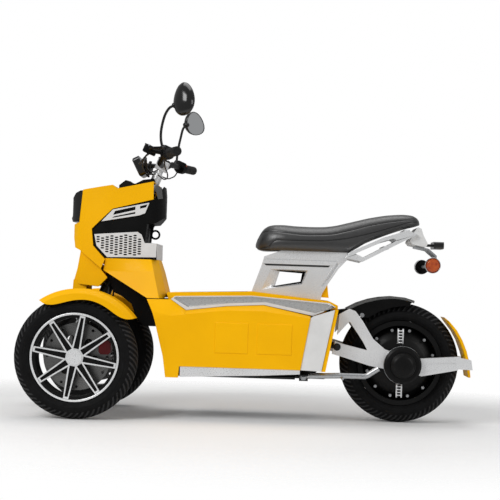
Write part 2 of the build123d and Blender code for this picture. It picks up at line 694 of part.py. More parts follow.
def top_cowl():
    """The black cowl on top of the hood, round the column."""
    form = at_head([(113.3, 883.8), (113.3, 900), (139, 920), (160, 915), (168, 906), (205, 926), (247, 932),
                    (252, 915.3)])
    body = prism(form, -84, 84) & slab(both_sides([(FRONT_AXLE_X + 112, 70), (FRONT_AXLE_X + 170, 84),
                                                  (FRONT_AXLE_X + 175, 50),
                                                   (FRONT_AXLE_X + 254, 46)]), 870, 940)
    body -= prism(at_head([(100, 860), (112.2, 883.6), (254, 915.6), (270, 880)]), -90, 90)
    return body - STEER * Pos(0, 0, 620) * Cylinder(HEAD_TUBE_R + 6, 260)


def bag_hook():
    """The hook for a bag, under the dash."""
    plate = prism(at_head([(233.5, 750.5), (252, 750.5), (246, 740), (238, 682), (233.5, 682)]), -9, 9)
    ring = Pos(FRONT_AXLE_X + 254, 0, 712) * Rot(90, 0, 0) * Torus(16, 4)
    return plate + ring


def front_shield():
    """The yellow neck that runs down from the hood to between the wheels."""
    form = at_head([(-29, 638.8), (-41, 569), (-60, 509), (49, 499), (84, 536), (58, 565), (57.5, 571.4)])
    void = at_head([(-22, 660), (-35, 569), (-53, 500), (-40, 480), (100, 480), (100, 570), (57.5, 572)])
    plan = both_sides([(FRONT_AXLE_X - 62, 40), (FRONT_AXLE_X - 40, 64), (FRONT_AXLE_X, 86),
                       (FRONT_AXLE_X + 100, 100)])
    inside = both_sides([(FRONT_AXLE_X - 58, 36), (FRONT_AXLE_X - 36, 59), (FRONT_AXLE_X, 81),
                         (FRONT_AXLE_X + 110, 95)])
    body = prism(form, -110, 110) & slab(plan, 480, 660)
    return body - (prism(void, -110, 110) & slab(inside, 470, 670))


def spine_cover():
    """The black cover along the spine tube, under the knee shield, open above and behind."""
    x = FRONT_AXLE_X
    f = BODY_FRONT_X
    low = [(x + 84, 528), (x + 107, 478), (x + 135, 466), (x + 176, 436), (x + 196, 385), (f - 100, 350)]
    top = [(f - 36, 350), (f - 53.4, 414.8), (f - 75.4, 461.9), (f - 100, 478), (x + 110, 556), (x + 76, 552)]
    half = SPINE_COVER_HALF
    shell = prism(low + top, -half, half)
    inner = [(a + 3, b + 4) for a, b in low] + [(f - 30, 354), (f - 40, 430), (f - 60, 500), (x + 110, 580),
                                                (x + 79, 580)]
    shell -= pipe(spine_route(), SPINE_R + FIT, 45)
    return shell - prism(inner, -half + WALL, half - WALL) - STEER * Pos(0, 0,
                                                                         200) * Cylinder(HEAD_TUBE_R + 4, 300)


def knee_shield():
    """The yellow shield that flares from the neck to the width of the floor body."""
    f = BODY_FRONT_X
    x = FRONT_AXLE_X

    def level(z, front, rear, front_half, rear_half, shrink):
        points = both_sides([(front + shrink, front_half - shrink), (rear - 22, rear_half - shrink),
                             (rear - shrink, rear_half * 0.5)])
        return Plane.XY.offset(z) * outline(points)

    def form(shrink, low, high):
        return loft([
            level(high, x + 75, f - 51, 106, HEAD_HALF + 2, shrink),
            level(564, x + 67, f - 36, 98, 146, shrink),
            level(low, f - 78, f - 9, 171, 176, shrink),
        ], ruled=True)

    shell = form(0, 462, 611) - form(WALL + 1, 460, 612)
    side = SPINE_COVER_HALF + FIT
    shell -= prism([(x + 40, 440), (f - 60, 440), (f - 75, 464), (f - 100, 480), (x + 110, 558),
                    (x + 40, 554)],
                   -side, side)
    shell -= STEER * Pos(0, 0, 260) * Cylinder(HEAD_TUBE_R + 4, 160)
    return shell - prism([(f - 20, 450), (f + 20, 450), (f + 20, 487), (f - 12, 487)], -BODY_HALF, BODY_HALF)


# Steering

def steering_column():
    """The column in the head tube, and the clamp that holds the bar."""
    low = 11 + FIT
    shaft = Pos(0, 0, (low + CLAMP_S) / 2) * Cylinder(COLUMN_R, CLAMP_S - low)
    shaft += Pos(0, 0, HEAD_TUBE_TOP + 40) * Cylinder(20, 80 - 2 * FIT)
    shaft += Pos(0, 0, CLAMP_S) * Box(46, 44, 40)
    return STEER * shaft - bar(BAR_R + RUN)


def bar_route():
    """Half of the bar's route, from its middle to its right end, in the column's frame."""
    return [(0, 0, CLAMP_S), (0, 90, CLAMP_S), (12, 160, CLAMP_S + 30), (31, 250, CLAMP_S + 35),
            (79, BAR_HALF, CLAMP_S + 54)]


def bar(radius):
    """The bent bar from end to end, at a radius."""
    half = bar_route()
    points = [steer(x, -y, s) for x, y, s in reversed(half[1:])] + [steer(x, y, s) for x, y, s in half[1:]]
    return pipe(points, radius, 34)


def handlebar():
    """The bent bar that the column's clamp holds."""
    return bar(BAR_R)


def on_bar(share):
    """A point on the bar's left outer run, from its bend to its end."""
    start, end = bar_route()[3], bar_route()[4]
    return steer(*[a + (b - a) * share if i != 1 else -(a + (b - a) * share)
                   for i, (a, b) in enumerate(zip(start, end))])


def grip():
    """The left rubber grip."""
    sleeve = rod(on_bar(0.24), on_bar(1.0), GRIP_R) + rod(on_bar(0.24), on_bar(0.28), GRIP_R + 5)
    return sleeve - bar(BAR_R + RUN) - rod(on_bar(0.9), on_bar(1.1), BAR_R + RUN)


def control_housing():
    """The left switch housing and lever perch, with the brake lever and its reservoir."""
    body = rod(on_bar(0.02), on_bar(0.235), 24)
    body += rod(steer(22, -258, CLAMP_S + 36), steer(-33, -242, CLAMP_S + 24), 11)
    body += rod(steer(-33, -208, CLAMP_S + 24), steer(-33, -252, CLAMP_S + 24), 14)
    body += pipe([steer(-33, -244, CLAMP_S + 24), steer(-26, -290, CLAMP_S + 28),
                  steer(28, BAR_HALF * -0.97, CLAMP_S + 46)],
                 5, 40)
    return body - bar(BAR_R + RUN)


def mirror_place():
    """Where the left mirror's head is, and how it is turned."""
    centre = steer(15, -300, CLAMP_S + 250)
    return Pos(centre) * Rot(0, 0, 20) * Rot(0, 12, 0)


def mirror_head():
    """The left mirror with its stem: a deep oval shell, open to the rear for the glass."""
    stem = pipe([steer(-33, -230, CLAMP_S + 38 + FIT), steer(-33, -230, CLAMP_S + 62),
                 steer(-17, -268, CLAMP_S + 113),
                 steer(-15, -286, CLAMP_S + 172), steer(2, -296, CLAMP_S + 224)], 5, 20)
    sections = []
    for depth, wide, tall in ((0, 62, 52), (-14, 60, 50), (-28, 46, 38), (-40, 16, 12)):
        sections.append(Plane(origin=(depth, 0, 0), x_dir=(0, 1, 0), z_dir=(1, 0, 0)) * Ellipse(wide, tall))
    shell = loft(sections)
    pocket = Plane(origin=(-5, 0, 0), x_dir=(0, 1, 0), z_dir=(1, 0, 0)) * Ellipse(58, 48)
    shell -= extrude(pocket, amount=10, dir=(1, 0, 0))
    head = mirror_place() * shell
    return head + stem - (mirror_place() * Pos(2, 0, 0) * Box(14, 110, 90))


def mirror_glass():
    """The left mirror's glass."""
    face = Plane(origin=(-5 + FIT, 0, 0), x_dir=(0, 1, 0), z_dir=(1, 0, 0)) * Ellipse(57.7, 47.7)
    return mirror_place() * extrude(face, amount=3, dir=(1, 0, 0))


def instrument_pod():
    """The tilted display ahead of the bar, on its arm."""
    centre = steer(-76, 0, 671)
    pod = Box(30, 116, 78)
    pod = fillet(pod.edges().filter_by(Axis.X), 14)
    pod = chamfer(pod.faces().sort_by(Axis.X)[0].edges(), 5)
    body = Pos(centre) * Rot(0, -27, 0) * pod
    body += rod(steer(-74, 0, 682), steer(-10, 0, CLAMP_S - 6), 9)
    return body - STEER * Pos(0, 0, CLAMP_S) * Box(46 + 2 * FIT, 60, 80)


# Hoses and cables

def brake_hose():
    """The left hose from the neck down to the cradle."""
    x = FRONT_AXLE_X
    side = -CRADLE_HALF - CABLE_R - FIT
    return pipe([(x + 66, -52, 520), (x + 86, -60, 496), (x + 84, side, 464), (x + 62, side, 440),
                 (x + 40, side, 420)], CABLE_R, 14)


def control_cables():
    """The loops of cable from the lever perches down to the column."""
    start = CLAMP_S + 7
    end = CLAMP_S - 47
    right = pipe([steer(-33, 246, start), steer(-52, 200, CLAMP_S - 30), steer(-66, 130, CLAMP_S - 20),
                  steer(-44, 60, CLAMP_S - 40), steer(-22.7, 8, end)], CABLE_R, 26)
    left = pipe([steer(-33, -246, start), steer(-58, -190, CLAMP_S - 44), steer(-52, -120, CLAMP_S - 6),
                 steer(-44, -60, CLAMP_S - 36), steer(-22.7, -8, end)], CABLE_R, 26)
    return right + left


# Saddle and rear end

def saddle_leg():
    """The cast leg under the saddle: a proud cap, a slanted opening through bevelled frames and a rear strut."""
    leg = prism([(0, DECK_Z - 10), (0, DECK_Z + FIT), (37, 608), (45, 639), (111, 664),
                 (371, 664), (371, 636), (338, 600), (294, 532), (276, 500), (270, 470)], -LEG_HALF, LEG_HALF)
    leg -= prism([(-10, 450), (-10, DECK_Z + FIT), (7, DECK_Z + FIT),
                  (BODY_REAR_X - 31, 471 + FIT), (380, 440)],
                 -LEG_HALF - 1, LEG_HALF + 1)
    window = [(106, 583), (197, 578), (191, 545), (89, 525)]
    frame = [(66, 591), (224, 591), (198, 532), (31, 506)]
    leg -= prism(window, -LEG_HALF - 1, LEG_HALF + 1)
    step = prism([(-20, 450), (-20, 600), (38, 611), (316, 611), (258, 496), (250, 450)], -LEG_HALF - 1,
                 -LEG_HALF + 3)
    bevel = loft([Plane.XZ.offset(LEG_HALF + 1) * outline(frame),
                  Plane.XZ.offset(LEG_HALF - 26) * outline(window)],
                 ruled=True)
    rib = prism([(46, 626), (330, 626), (332, 630), (48, 630)], -LEG_HALF - 1, -LEG_HALF + 2.5)
    gap = prism([(330, 622), (340, 616), (286, 530), (272, 530)], -LEG_HALF - 1, -LEG_HALF + 8)
    for cut in (step, bevel, rib, gap):
        leg -= cut
        leg -= mirrored(cut)
    return leg


def saddle_cushion():
    """The long two level saddle, a plain closed form."""
    side = [(8, 672), (10, 699), (31, 738), (65, 762), (112, 765), (221, 761), (310, 768),
            (379, 785), (461, 808),
            (537, 820), (588, 823), (636, 817), (656, 790), (647, 779), (531, 743), (445, 706), (374, 664.3),
            (111, 664.3), (45, 660)]
    plan = both_sides([(8, 60), (40, 96), (140, SADDLE_HALF), (280, SADDLE_HALF - 4), (430, 92), (600, 84),
                       (656, 56)])
    body = prism(side, -SADDLE_HALF, SADDLE_HALF) & slab(plan, 640, 840)
    return body


def grab_rails():
    """The bright tail frame: a rail each side of the saddle, and the cross pieces."""
    rail = prism([(360, 642), (428, 629), (550, 695), (640, 742), (602, 758), (506, 726),
                  (380, 666.5)], -112, -96)
    rail -= prism([(398, 661), (432, 646), (560, 716), (548, 724), (506, 711)], -113, -95, 3)
    frame = pair(rail)
    for x, z in ((383.4, 656), (520, 688), (600, 754.4)):
        frame += Pos(x, 0, z) * Box(22, 196, 12)
    return frame


def tail_cover():
    """The pale cover behind the saddle."""
    cover = prism([(628, 751), (642, 772), (656, 766), (664, 741), (682, 708), (675, 694),
                   (623, 704), (612, 716)],
                  -96 + FIT, 96 - FIT, 3)
    return cover


def tail_lamp():
    """The capsule shaped tail lamp."""
    lamp = Pos(731, 0, 705) * Box(40, 110, 28)
    lamp = fillet(lamp.edges().filter_by(Axis.X), 12)
    return lamp + Pos(697.4, 0, 705) * Box(30, 40, 10)


def plate_bracket():
    """The bracket for a number plate, with its cross bar for the indicators."""
    plate = prism([(640, 700.2), (675, 693.4), (692, 690), (723, 664), (723, 634), (717, 634), (717, 660),
                   (688, 684), (640, 693)], -60, 60)
    for y in (-35, 35):
        plate -= Pos(720, y, 648) * Rot(0, 90, 0) * Cylinder(3.5, 40)
    plate += rod((694, -160, 622), (694, 160, 622), 6)
    plate += Pos(706, 0, 636) * Box(30, 30, 8)
    plate += Pos(694, 0, 628) * Box(14, 30, 18)
    return plate


def rear_indicator():
    """The left rear indicator, a round lamp that faces sideways."""
    lamp = turned([(-186, 0), (-186, 21), (-180, 28.6), (-166, 28.6), (-160 - FIT, 14),
                   (-160 - FIT, 0)], 694, 622)
    return lamp


def hub_plate(y_from, y_to):
    """The round end of the swing arm about the rear axle."""
    return turned([(y_from, 0), (y_to, 0), (y_to, 64), (y_from, 64)], REAR_AXLE_X, REAR_TYRE_R)


def at_pivot(points):
    """Side view points given from the swing arm's pivot."""
    return [(PIVOT_X + x, PIVOT_Z + z) for x, z in points]


def swing_arm():
    """The bright rear arms: a hooked upper arm, a middle arm and the arm out to the mudguard."""
    y0 = -ARM_IN - ARM_T
    y1 = -ARM_IN
    hook = prism(at_pivot([(6, 127), (45, 149), (68, 141), (98, 102)]) +
                 at_rear([(-113, 95), (-66, 56), (-32, 46), (-32, 4), (-126, 34), (-152, 82)]) +
                 at_pivot([(58, 84), (47, 100), (35, 88), (0, 47)]), y0, y1)
    middle = prism(at_pivot([(-8, 21), (27, 11)]) + at_rear([(-126, 48), (-32, 24), (-32, -26), (-127, -9)]) +
                   at_pivot([(22, -38), (-18, -28)]), y0, y1)
    rear = prism(at_rear([(38, 26), (76, 25), (229, 37), (219, -16), (78, -44), (38, -31)]), y0, y1)
    side = hook + middle + rear + hub_plate(y0, y1)
    side -= prism(at_rear([(70, 4), (212, 12), (208, -10), (74, -30)]), y0 - 1, y0 + 3)
    side -= Pos(PIVOT_X, 0, PIVOT_Z) * Rot(90, 0, 0) * Cylinder(PIVOT_R + RUN, 400)
    arms = pair(side)
    arms += rod((REAR_AXLE_X, y0, REAR_TYRE_R), (REAR_AXLE_X, -y0, REAR_TYRE_R), AXLE_R)
    arms += pair(prism(at_rear([(212, -12), (276, -14), (270, 24), (216, 34)]), y0, -60))
    return arms


def hub_cover():
    """The left cover over the axle's end: a ring with a dome."""
    y = -ARM_IN - ARM_T - FIT
    return turned([(y, 0), (y, 72.6), (y - 18, 72.6), (y - 24, 64), (y - 24, 50), (y - 34, 48), (y - 44, 36),
                   (y - 47, 16), (y - 47, 0)], REAR_AXLE_X + 3, REAR_TYRE_R - 3)


def rear_hugger():
    """The black guard over the front of the rear wheel, with its foot on the body's rear wall."""
    crown = around(REAR_AXLE_X, REAR_TYRE_R, [(136, 65), (127, 54), (117, 43), (108, 35), (98, 29),
                                              (88, 23), (79, 16)])
    skirt = around(REAR_AXLE_X, REAR_TYRE_R, [(84, -8), (98, -14), (112, -17), (128, -17), (134, 20)])
    arch = prism(crown + skirt, -REAR_TYRE_W / 2 - 16, REAR_TYRE_W / 2 + 16)
    gap = REAR_TYRE_W / 2 + 9
    inner = REAR_TYRE_R + 10
    arch -= turned([(-gap, 0), (gap, 0), (gap, inner - 14), (gap - 22, inner), (-gap + 22, inner),
                    (-gap, inner - 14)],
                   REAR_AXLE_X, REAR_TYRE_R)
    foot = prism([(BODY_REAR_X - 2.5, 418), (BODY_REAR_X + 46, 424), (BODY_REAR_X + 60, 446),
                  (BODY_REAR_X + 1.1, 438)], -50, 50)
    return arch + foot


def rear_mudguard():
    """The yellow guard behind the rear wheel."""
    outer = around(REAR_AXLE_X, REAR_TYRE_R, [(48, 15), (42, 19), (32, 23), (22, 26), (12, 31),
                                              (3.7, 36), (-9.8, 48)])
    inner = around(REAR_AXLE_X, REAR_TYRE_R, [(-10.2, 38), (3.7, 24), (12, 18), (22.7, 14),
                                              (32, 12), (43.3, 11)])
    return prism(outer + inner, -60 + FIT, 60 - FIT)


PIECES = {
    "left_front_tyre": lambda: tyre(FRONT_AXLE_X, WHEEL_Y, FRONT_TYRE_R, FRONT_TYRE_W),
    "right_front_tyre": lambda: tyre(FRONT_AXLE_X, -WHEEL_Y, FRONT_TYRE_R, FRONT_TYRE_W),
    "left_front_rim": front_rim,
    "right_front_rim": lambda: mirrored(front_rim()),
    "left_brake_disc": front_disc,
    "right_brake_disc": lambda: mirrored(front_disc()),
    "left_knuckle": knuckle,
    "right_knuckle": lambda: mirrored(knuckle()),
    "left_caliper": caliper,
    "right_caliper": lambda: mirrored(caliper()),
    "left_fender": fender,
    "right_fender": lambda: mirrored(fender()),
    "rear_tyre": lambda: tyre(REAR_AXLE_X, 0, REAR_TYRE_R, REAR_TYRE_W),
    "rear_motor_wheel": rear_motor,
    "main_frame": main_frame,
    "front_suspension": lambda: pair(suspension()),
    "steering_crank": steering_crank,
    "tie_rod": tie_rod,
    "battery_pack": battery_pack,
    "side_panels": lambda: pair(side_panel()),
    "channel_trims": lambda: pair(channel_trim()),
    "rear_panels": lambda: pair(rear_panel()),
    "sills": lambda: pair(sill()),
    "floor_cover": floor_cover,
    "foot_mat": foot_mat,
    "rear_closure": rear_closure,
    "wheel_arch_liner": wheel_arch_liner,
    "head_fairing": head_fairing,
    "headlamp": headlamp,
    "headlamp_lens": headlamp_lens,
    "inner_fairing": inner_fairing,
    "louvre_panels": lambda: pair(louvre_panel()),
    "mesh_grilles": lambda: pair(mesh_grille()),
    "top_cowl": top_cowl,
    "bag_hook": bag_hook,
    "front_shield": front_shield,
    "knee_shield": knee_shield,
    "spine_cover": spine_cover,
    "dash_trims": lambda: pair(dash_trim()),
    "brake_hoses": lambda: pair(brake_hose()),
    "control_cables": control_cables,
    "steering_column": steering_column,
    "handlebar": handlebar,
    "grips": lambda: pair(grip()),
    "control_housings": lambda: pair(control_housing()),
    "mirrors": lambda: pair(mirror_head()),
    "mirror_glasses": lambda: pair(mirror_glass()),
    "instrument_pod": instrument_pod,
    "saddle_leg": saddle_leg,
    "saddle_cushion": saddle_cushion,
    "grab_rails": grab_rails,
    "tail_cover": tail_cover,
    "tail_lamp": tail_lamp,
    "plate_bracket": plate_bracket,
    "rear_indicators": lambda: pair(rear_indicator()),
    "swing_arm": swing_arm,
    "hub_covers": lambda: pair(hub_cover()),
    "rear_hugger": rear_hugger,
    "rear_mudguard": rear_mudguard,
    "side_stand": side_stand,
}

os.makedirs("parts", exist_ok=True)
for name, make in PIECES.items():
    export_step(make(), f"parts/{name}.step")
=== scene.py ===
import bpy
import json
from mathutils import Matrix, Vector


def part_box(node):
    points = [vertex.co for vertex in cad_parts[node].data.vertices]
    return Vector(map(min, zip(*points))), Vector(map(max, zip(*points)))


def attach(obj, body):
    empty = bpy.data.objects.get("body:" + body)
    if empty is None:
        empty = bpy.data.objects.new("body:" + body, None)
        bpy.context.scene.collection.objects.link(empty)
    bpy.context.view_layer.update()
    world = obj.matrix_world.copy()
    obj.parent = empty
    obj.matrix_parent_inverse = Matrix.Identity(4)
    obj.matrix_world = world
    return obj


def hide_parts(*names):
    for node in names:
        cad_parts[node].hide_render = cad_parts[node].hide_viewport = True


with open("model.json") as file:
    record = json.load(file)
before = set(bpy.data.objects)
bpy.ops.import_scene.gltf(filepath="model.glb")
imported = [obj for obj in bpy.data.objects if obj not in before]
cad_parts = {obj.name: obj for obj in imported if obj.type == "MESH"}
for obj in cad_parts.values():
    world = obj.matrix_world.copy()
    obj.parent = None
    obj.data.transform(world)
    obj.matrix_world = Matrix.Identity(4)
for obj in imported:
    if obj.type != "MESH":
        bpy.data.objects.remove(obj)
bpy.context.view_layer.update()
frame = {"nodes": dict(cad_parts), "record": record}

import json
import math

import bmesh
import bpy
from mathutils import Matrix, Vector

# An electric scooter with two front wheels, in metres. It faces -x and its left side is -y.

MM = 0.001
NODES = frame["nodes"]

# Sizes that the pieces below take from the frame.


def middle(node):
    """The centre of a CAD node's box."""
    low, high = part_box(node)
    return (low + high) / 2


FRONT_AXLE = middle("left_front_tyre")
REAR_AXLE = middle("rear_tyre")
FRONT_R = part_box("left_front_tyre")[1].z - FRONT_AXLE.z
REAR_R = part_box("rear_tyre")[1].z - REAR_AXLE.z


# Materials

def linear(hex_colour):
    """An sRGB hex colour as linear red, green, blue and alpha."""
    parts = [int(hex_colour[i:i + 2], 16) / 255 for i in (1, 3, 5)]
    return [p / 12.92 if p <= 0.04045 else ((p + 0.055) / 1.055) ** 2.4 for p in parts] + [1.0]


def add(tree, kind, links=None, values=None, **settings):
    """A node with its settings, its input values and its links from other nodes' outputs."""
    node = tree.nodes.new(kind)
    for name, value in settings.items():
        setattr(node, name, value)
    for socket, value in (values or {}).items():
        node.inputs[socket].default_value = value
    for socket, output in (links or {}).items():
        tree.links.new(output, node.inputs[socket])
    return node


def start(name, **shader_values):
    """A new material's tree, its shader and its object coordinates in metres."""
    made = bpy.data.materials.new(name)
    made.use_nodes = True
    tree = made.node_tree
    shader = tree.nodes["Principled BSDF"]
    for socket, value in shader_values.items():
        shader.inputs[socket.replace("_", " ")].default_value = value
    place = add(tree, "ShaderNodeTexCoord").outputs["Object"]
    return made, tree, shader, place


def cells(size_mm):
    """The scale at which a texture's cells are that many millimetres wide."""
    return 1000 / size_mm


def mottle(tree, place, low, high, size_mm, detail=4.0):
    """A soft noise of that size, as a colour between two."""
    noise = add(tree, "ShaderNodeTexNoise", {"Vector": place}, {"Scale": cells(size_mm), "Detail": detail})
    ramp = add(tree, "ShaderNodeValToRGB", {"Fac": noise.outputs["Fac"]})
    ramp.color_ramp.elements[0].position = 0.3
    ramp.color_ramp.elements[1].position = 0.7
    ramp.color_ramp.elements[0].color = low
    ramp.color_ramp.elements[1].color = high
    return ramp.outputs["Color"]


def grey(value):
    """A grey for the ramps that carry a number."""
    return [value, value, value, 1.0]


def bump(tree, shader, height, depth_mm, strength=1.0, after=None):
    """A bump of that depth from a height, on top of another bump where one is given."""
    links = {"Height": height}
    if after:
        links["Normal"] = after
    node = add(tree, "ShaderNodeBump", links, {"Strength": strength, "Distance": depth_mm * MM})
    tree.links.new(node.outputs["Normal"], shader.inputs["Normal"])
    return node.outputs["Normal"]


def painted_abs(name, hex_colour, shade_hex):
    """ABS, sprayed and clear coated: deep even colour under a sharp gloss, with a faint orange peel that is
    drawn coarser than the real one so that it shows."""
    made, tree, shader, place = start(name, Roughness=0.45, IOR=1.5, Specular_IOR_Level=0.08,
                                      Coat_Weight=0.03, Coat_Roughness=0.12)
    colour = mottle(tree, place, linear(shade_hex), linear(hex_colour), size_mm=180)
    tree.links.new(colour, shader.inputs["Base Color"])
    peel = add(tree, "ShaderNodeTexNoise", {"Vector": place}, {"Scale": cells(3.0), "Detail": 2.0})
    bump(tree, shader, peel.outputs["Fac"], depth_mm=0.02, strength=0.4)
    return made


def moulded_plastic(name, hex_colour, shade_hex, grain_mm, roughness, gloss=0.5):
    """Moulded plastic with a spark-eroded grain: the cells, drawn coarser than real ones so that they show,
    scatter the light into a dull sheen."""
    made, tree, shader, place = start(name, IOR=1.49, Specular_IOR_Level=gloss)
    colour = mottle(tree, place, linear(shade_hex), linear(hex_colour), size_mm=60)
    tree.links.new(colour, shader.inputs["Base Color"])
    rough = mottle(tree, place, grey(roughness - 0.06), grey(roughness + 0.06), size_mm=25)
    tree.links.new(rough, shader.inputs["Roughness"])
    grain = add(tree, "ShaderNodeTexVoronoi", {"Vector": place}, {"Scale": cells(grain_mm)})
    bump(tree, shader, grain.outputs["Distance"], depth_mm=0.12, strength=0.35)
    return made


def sprayed_metal(name, hex_colour, shade_hex, metallic, roughness, flake_mm, gloss=0.5, coat=0.25):
    """Lacquer or powder coat on metal: flakes, drawn coarser than real ones so that they show, and a slight
    roll in the film."""
    made, tree, shader, place = start(name, Metallic=metallic, Specular_IOR_Level=gloss,
                                      Coat_Weight=coat, Coat_Roughness=0.12)
    colour = mottle(tree, place, linear(shade_hex), linear(hex_colour), size_mm=90)
    tree.links.new(colour, shader.inputs["Base Color"])
    rough = mottle(tree, place, grey(roughness - 0.05), grey(roughness + 0.07), size_mm=flake_mm * 6)
    tree.links.new(rough, shader.inputs["Roughness"])
    flake = add(tree, "ShaderNodeTexNoise", {"Vector": place}, {"Scale": cells(flake_mm), "Detail": 3.0})
    bump(tree, shader, flake.outputs["Fac"], depth_mm=0.03, strength=0.3)
    return made


def drawn_metal(name, hex_colour, shade_hex, roughness, stretch):
    """Brushed or drawn metal: lines along one way, drawn coarser than real ones so that they show, which
    stretch the highlights across them."""
    line_mm = 1.2
    made, tree, shader, place = start(name, Metallic=1.0)
    lines = add(tree, "ShaderNodeMapping", {"Vector": place}, {"Scale": stretch}).outputs["Vector"]
    colour = mottle(tree, lines, linear(shade_hex), linear(hex_colour), size_mm=line_mm)
    tree.links.new(colour, shader.inputs["Base Color"])
    rough = mottle(tree, lines, grey(roughness - 0.08), grey(roughness + 0.1), size_mm=line_mm)
    tree.links.new(rough, shader.inputs["Roughness"])
    scratch = add(tree, "ShaderNodeTexNoise", {"Vector": lines}, {"Scale": cells(line_mm), "Detail": 4.0})
    bump(tree, shader, scratch.outputs["Fac"], depth_mm=0.02, strength=0.4)
    return made


def tyre_compound(name, low_hex, high_hex, gloss):
    """Vulcanised rubber: nearly black and matt, with a dusty bloom in patches."""
    made, tree, shader, place = start(name, IOR=1.52, Specular_IOR_Level=gloss)
    colour = mottle(tree, place, linear(low_hex), linear(high_hex), size_mm=30)
    tree.links.new(colour, shader.inputs["Base Color"])
    rough = mottle(tree, place, grey(0.6), grey(0.78), size_mm=12)
    tree.links.new(rough, shader.inputs["Roughness"])
    skin = add(tree, "ShaderNodeTexNoise", {"Vector": place}, {"Scale": cells(1.5), "Detail": 3.0})
    bump(tree, shader, skin.outputs["Fac"], depth_mm=0.15, strength=0.4)
    return made


def ribbed_rubber(name, rib_mm, direction):
    """Moulded rubber with ribs: the ribs catch a thin line of light each."""
    bands_a_metre = 3.1415  # what the wave texture draws at a scale of 1, nearly
    made, tree, shader, place = start(name, Roughness=0.7, IOR=1.52, Specular_IOR_Level=0.35)
    colour = mottle(tree, place, linear("#0C0C0C"), linear("#191919"), size_mm=20)
    tree.links.new(colour, shader.inputs["Base Color"])
    ribs = add(tree, "ShaderNodeTexWave", {"Vector": place},
               {"Scale": cells(rib_mm) / bands_a_metre, "Distortion": 0.0}, bands_direction=direction)
    bump(tree, shader, ribs.outputs["Color"], depth_mm=1.2, strength=0.8)
    return made


def saddle_vinyl(name):
    """Leather-grain vinyl over foam: black, with a pebbled grain that breaks up a broad sheen, and soft
    creases."""
    made, tree, shader, place = start(name, IOR=1.5, Specular_IOR_Level=0.85,
                                      Coat_Weight=0.42, Coat_Roughness=0.34)
    colour = mottle(tree, place, linear("#060607"), linear("#0E0E0F"), size_mm=14)
    tree.links.new(colour, shader.inputs["Base Color"])
    rough = mottle(tree, place, grey(0.34), grey(0.5), size_mm=8)
    tree.links.new(rough, shader.inputs["Roughness"])
    pebble = add(tree, "ShaderNodeTexVoronoi", {"Vector": place}, {"Scale": cells(2.2)}, feature="F1")
    grain = bump(tree, shader, pebble.outputs["Distance"], depth_mm=0.3, strength=0.5)
    crease = add(tree, "ShaderNodeTexNoise", {"Vector": place}, {"Scale": cells(40), "Detail": 5.0})
    bump(tree, shader, crease.outputs["Fac"], depth_mm=1.0, strength=0.3, after=grain)
    return made


def lamp_plastic(name, hex_colour, ribs_mm):
    """Coloured acrylic lens: light passes into the skin and small prisms break it up."""
    made, tree, shader, place = start(name, Roughness=0.12, IOR=1.49, Transmission_Weight=0.35,
                                      Coat_Weight=0.5)
    colour = mottle(tree, place, linear(hex_colour), linear("#E0641A"), size_mm=12)
    tree.links.new(colour, shader.inputs["Base Color"])
    prism = add(tree, "ShaderNodeTexVoronoi", {"Vector": place}, {"Scale": cells(ribs_mm)},
                distance="CHEBYCHEV")
    bump(tree, shader, prism.outputs["Distance"], depth_mm=0.6, strength=0.6)
    return made


def clear_polycarbonate(name):
    """A smoked polycarbonate lens: dark and clear, with a sharp surface."""
    made, tree, shader, place = start(name, Roughness=0.03, IOR=1.58, Transmission_Weight=0.85,
                                      Coat_Weight=0.3)
    colour = mottle(tree, place, linear("#6E7073"), linear("#85878A"), size_mm=60)
    tree.links.new(colour, shader.inputs["Base Color"])
    wave = add(tree, "ShaderNodeTexNoise", {"Vector": place}, {"Scale": cells(30)})
    bump(tree, shader, wave.outputs["Fac"], depth_mm=0.05, strength=0.3)
    return made


def silvered_glass(name):
    """Mirror glass: a clean reflection with a faint haze of dust."""
    made, tree, shader, place = start(name, Metallic=1.0)
    shader.inputs["Base Color"].default_value = linear("#D4D6D8")
    rough = mottle(tree, place, grey(0.02), grey(0.06), size_mm=20)
    tree.links.new(rough, shader.inputs["Roughness"])
    return made


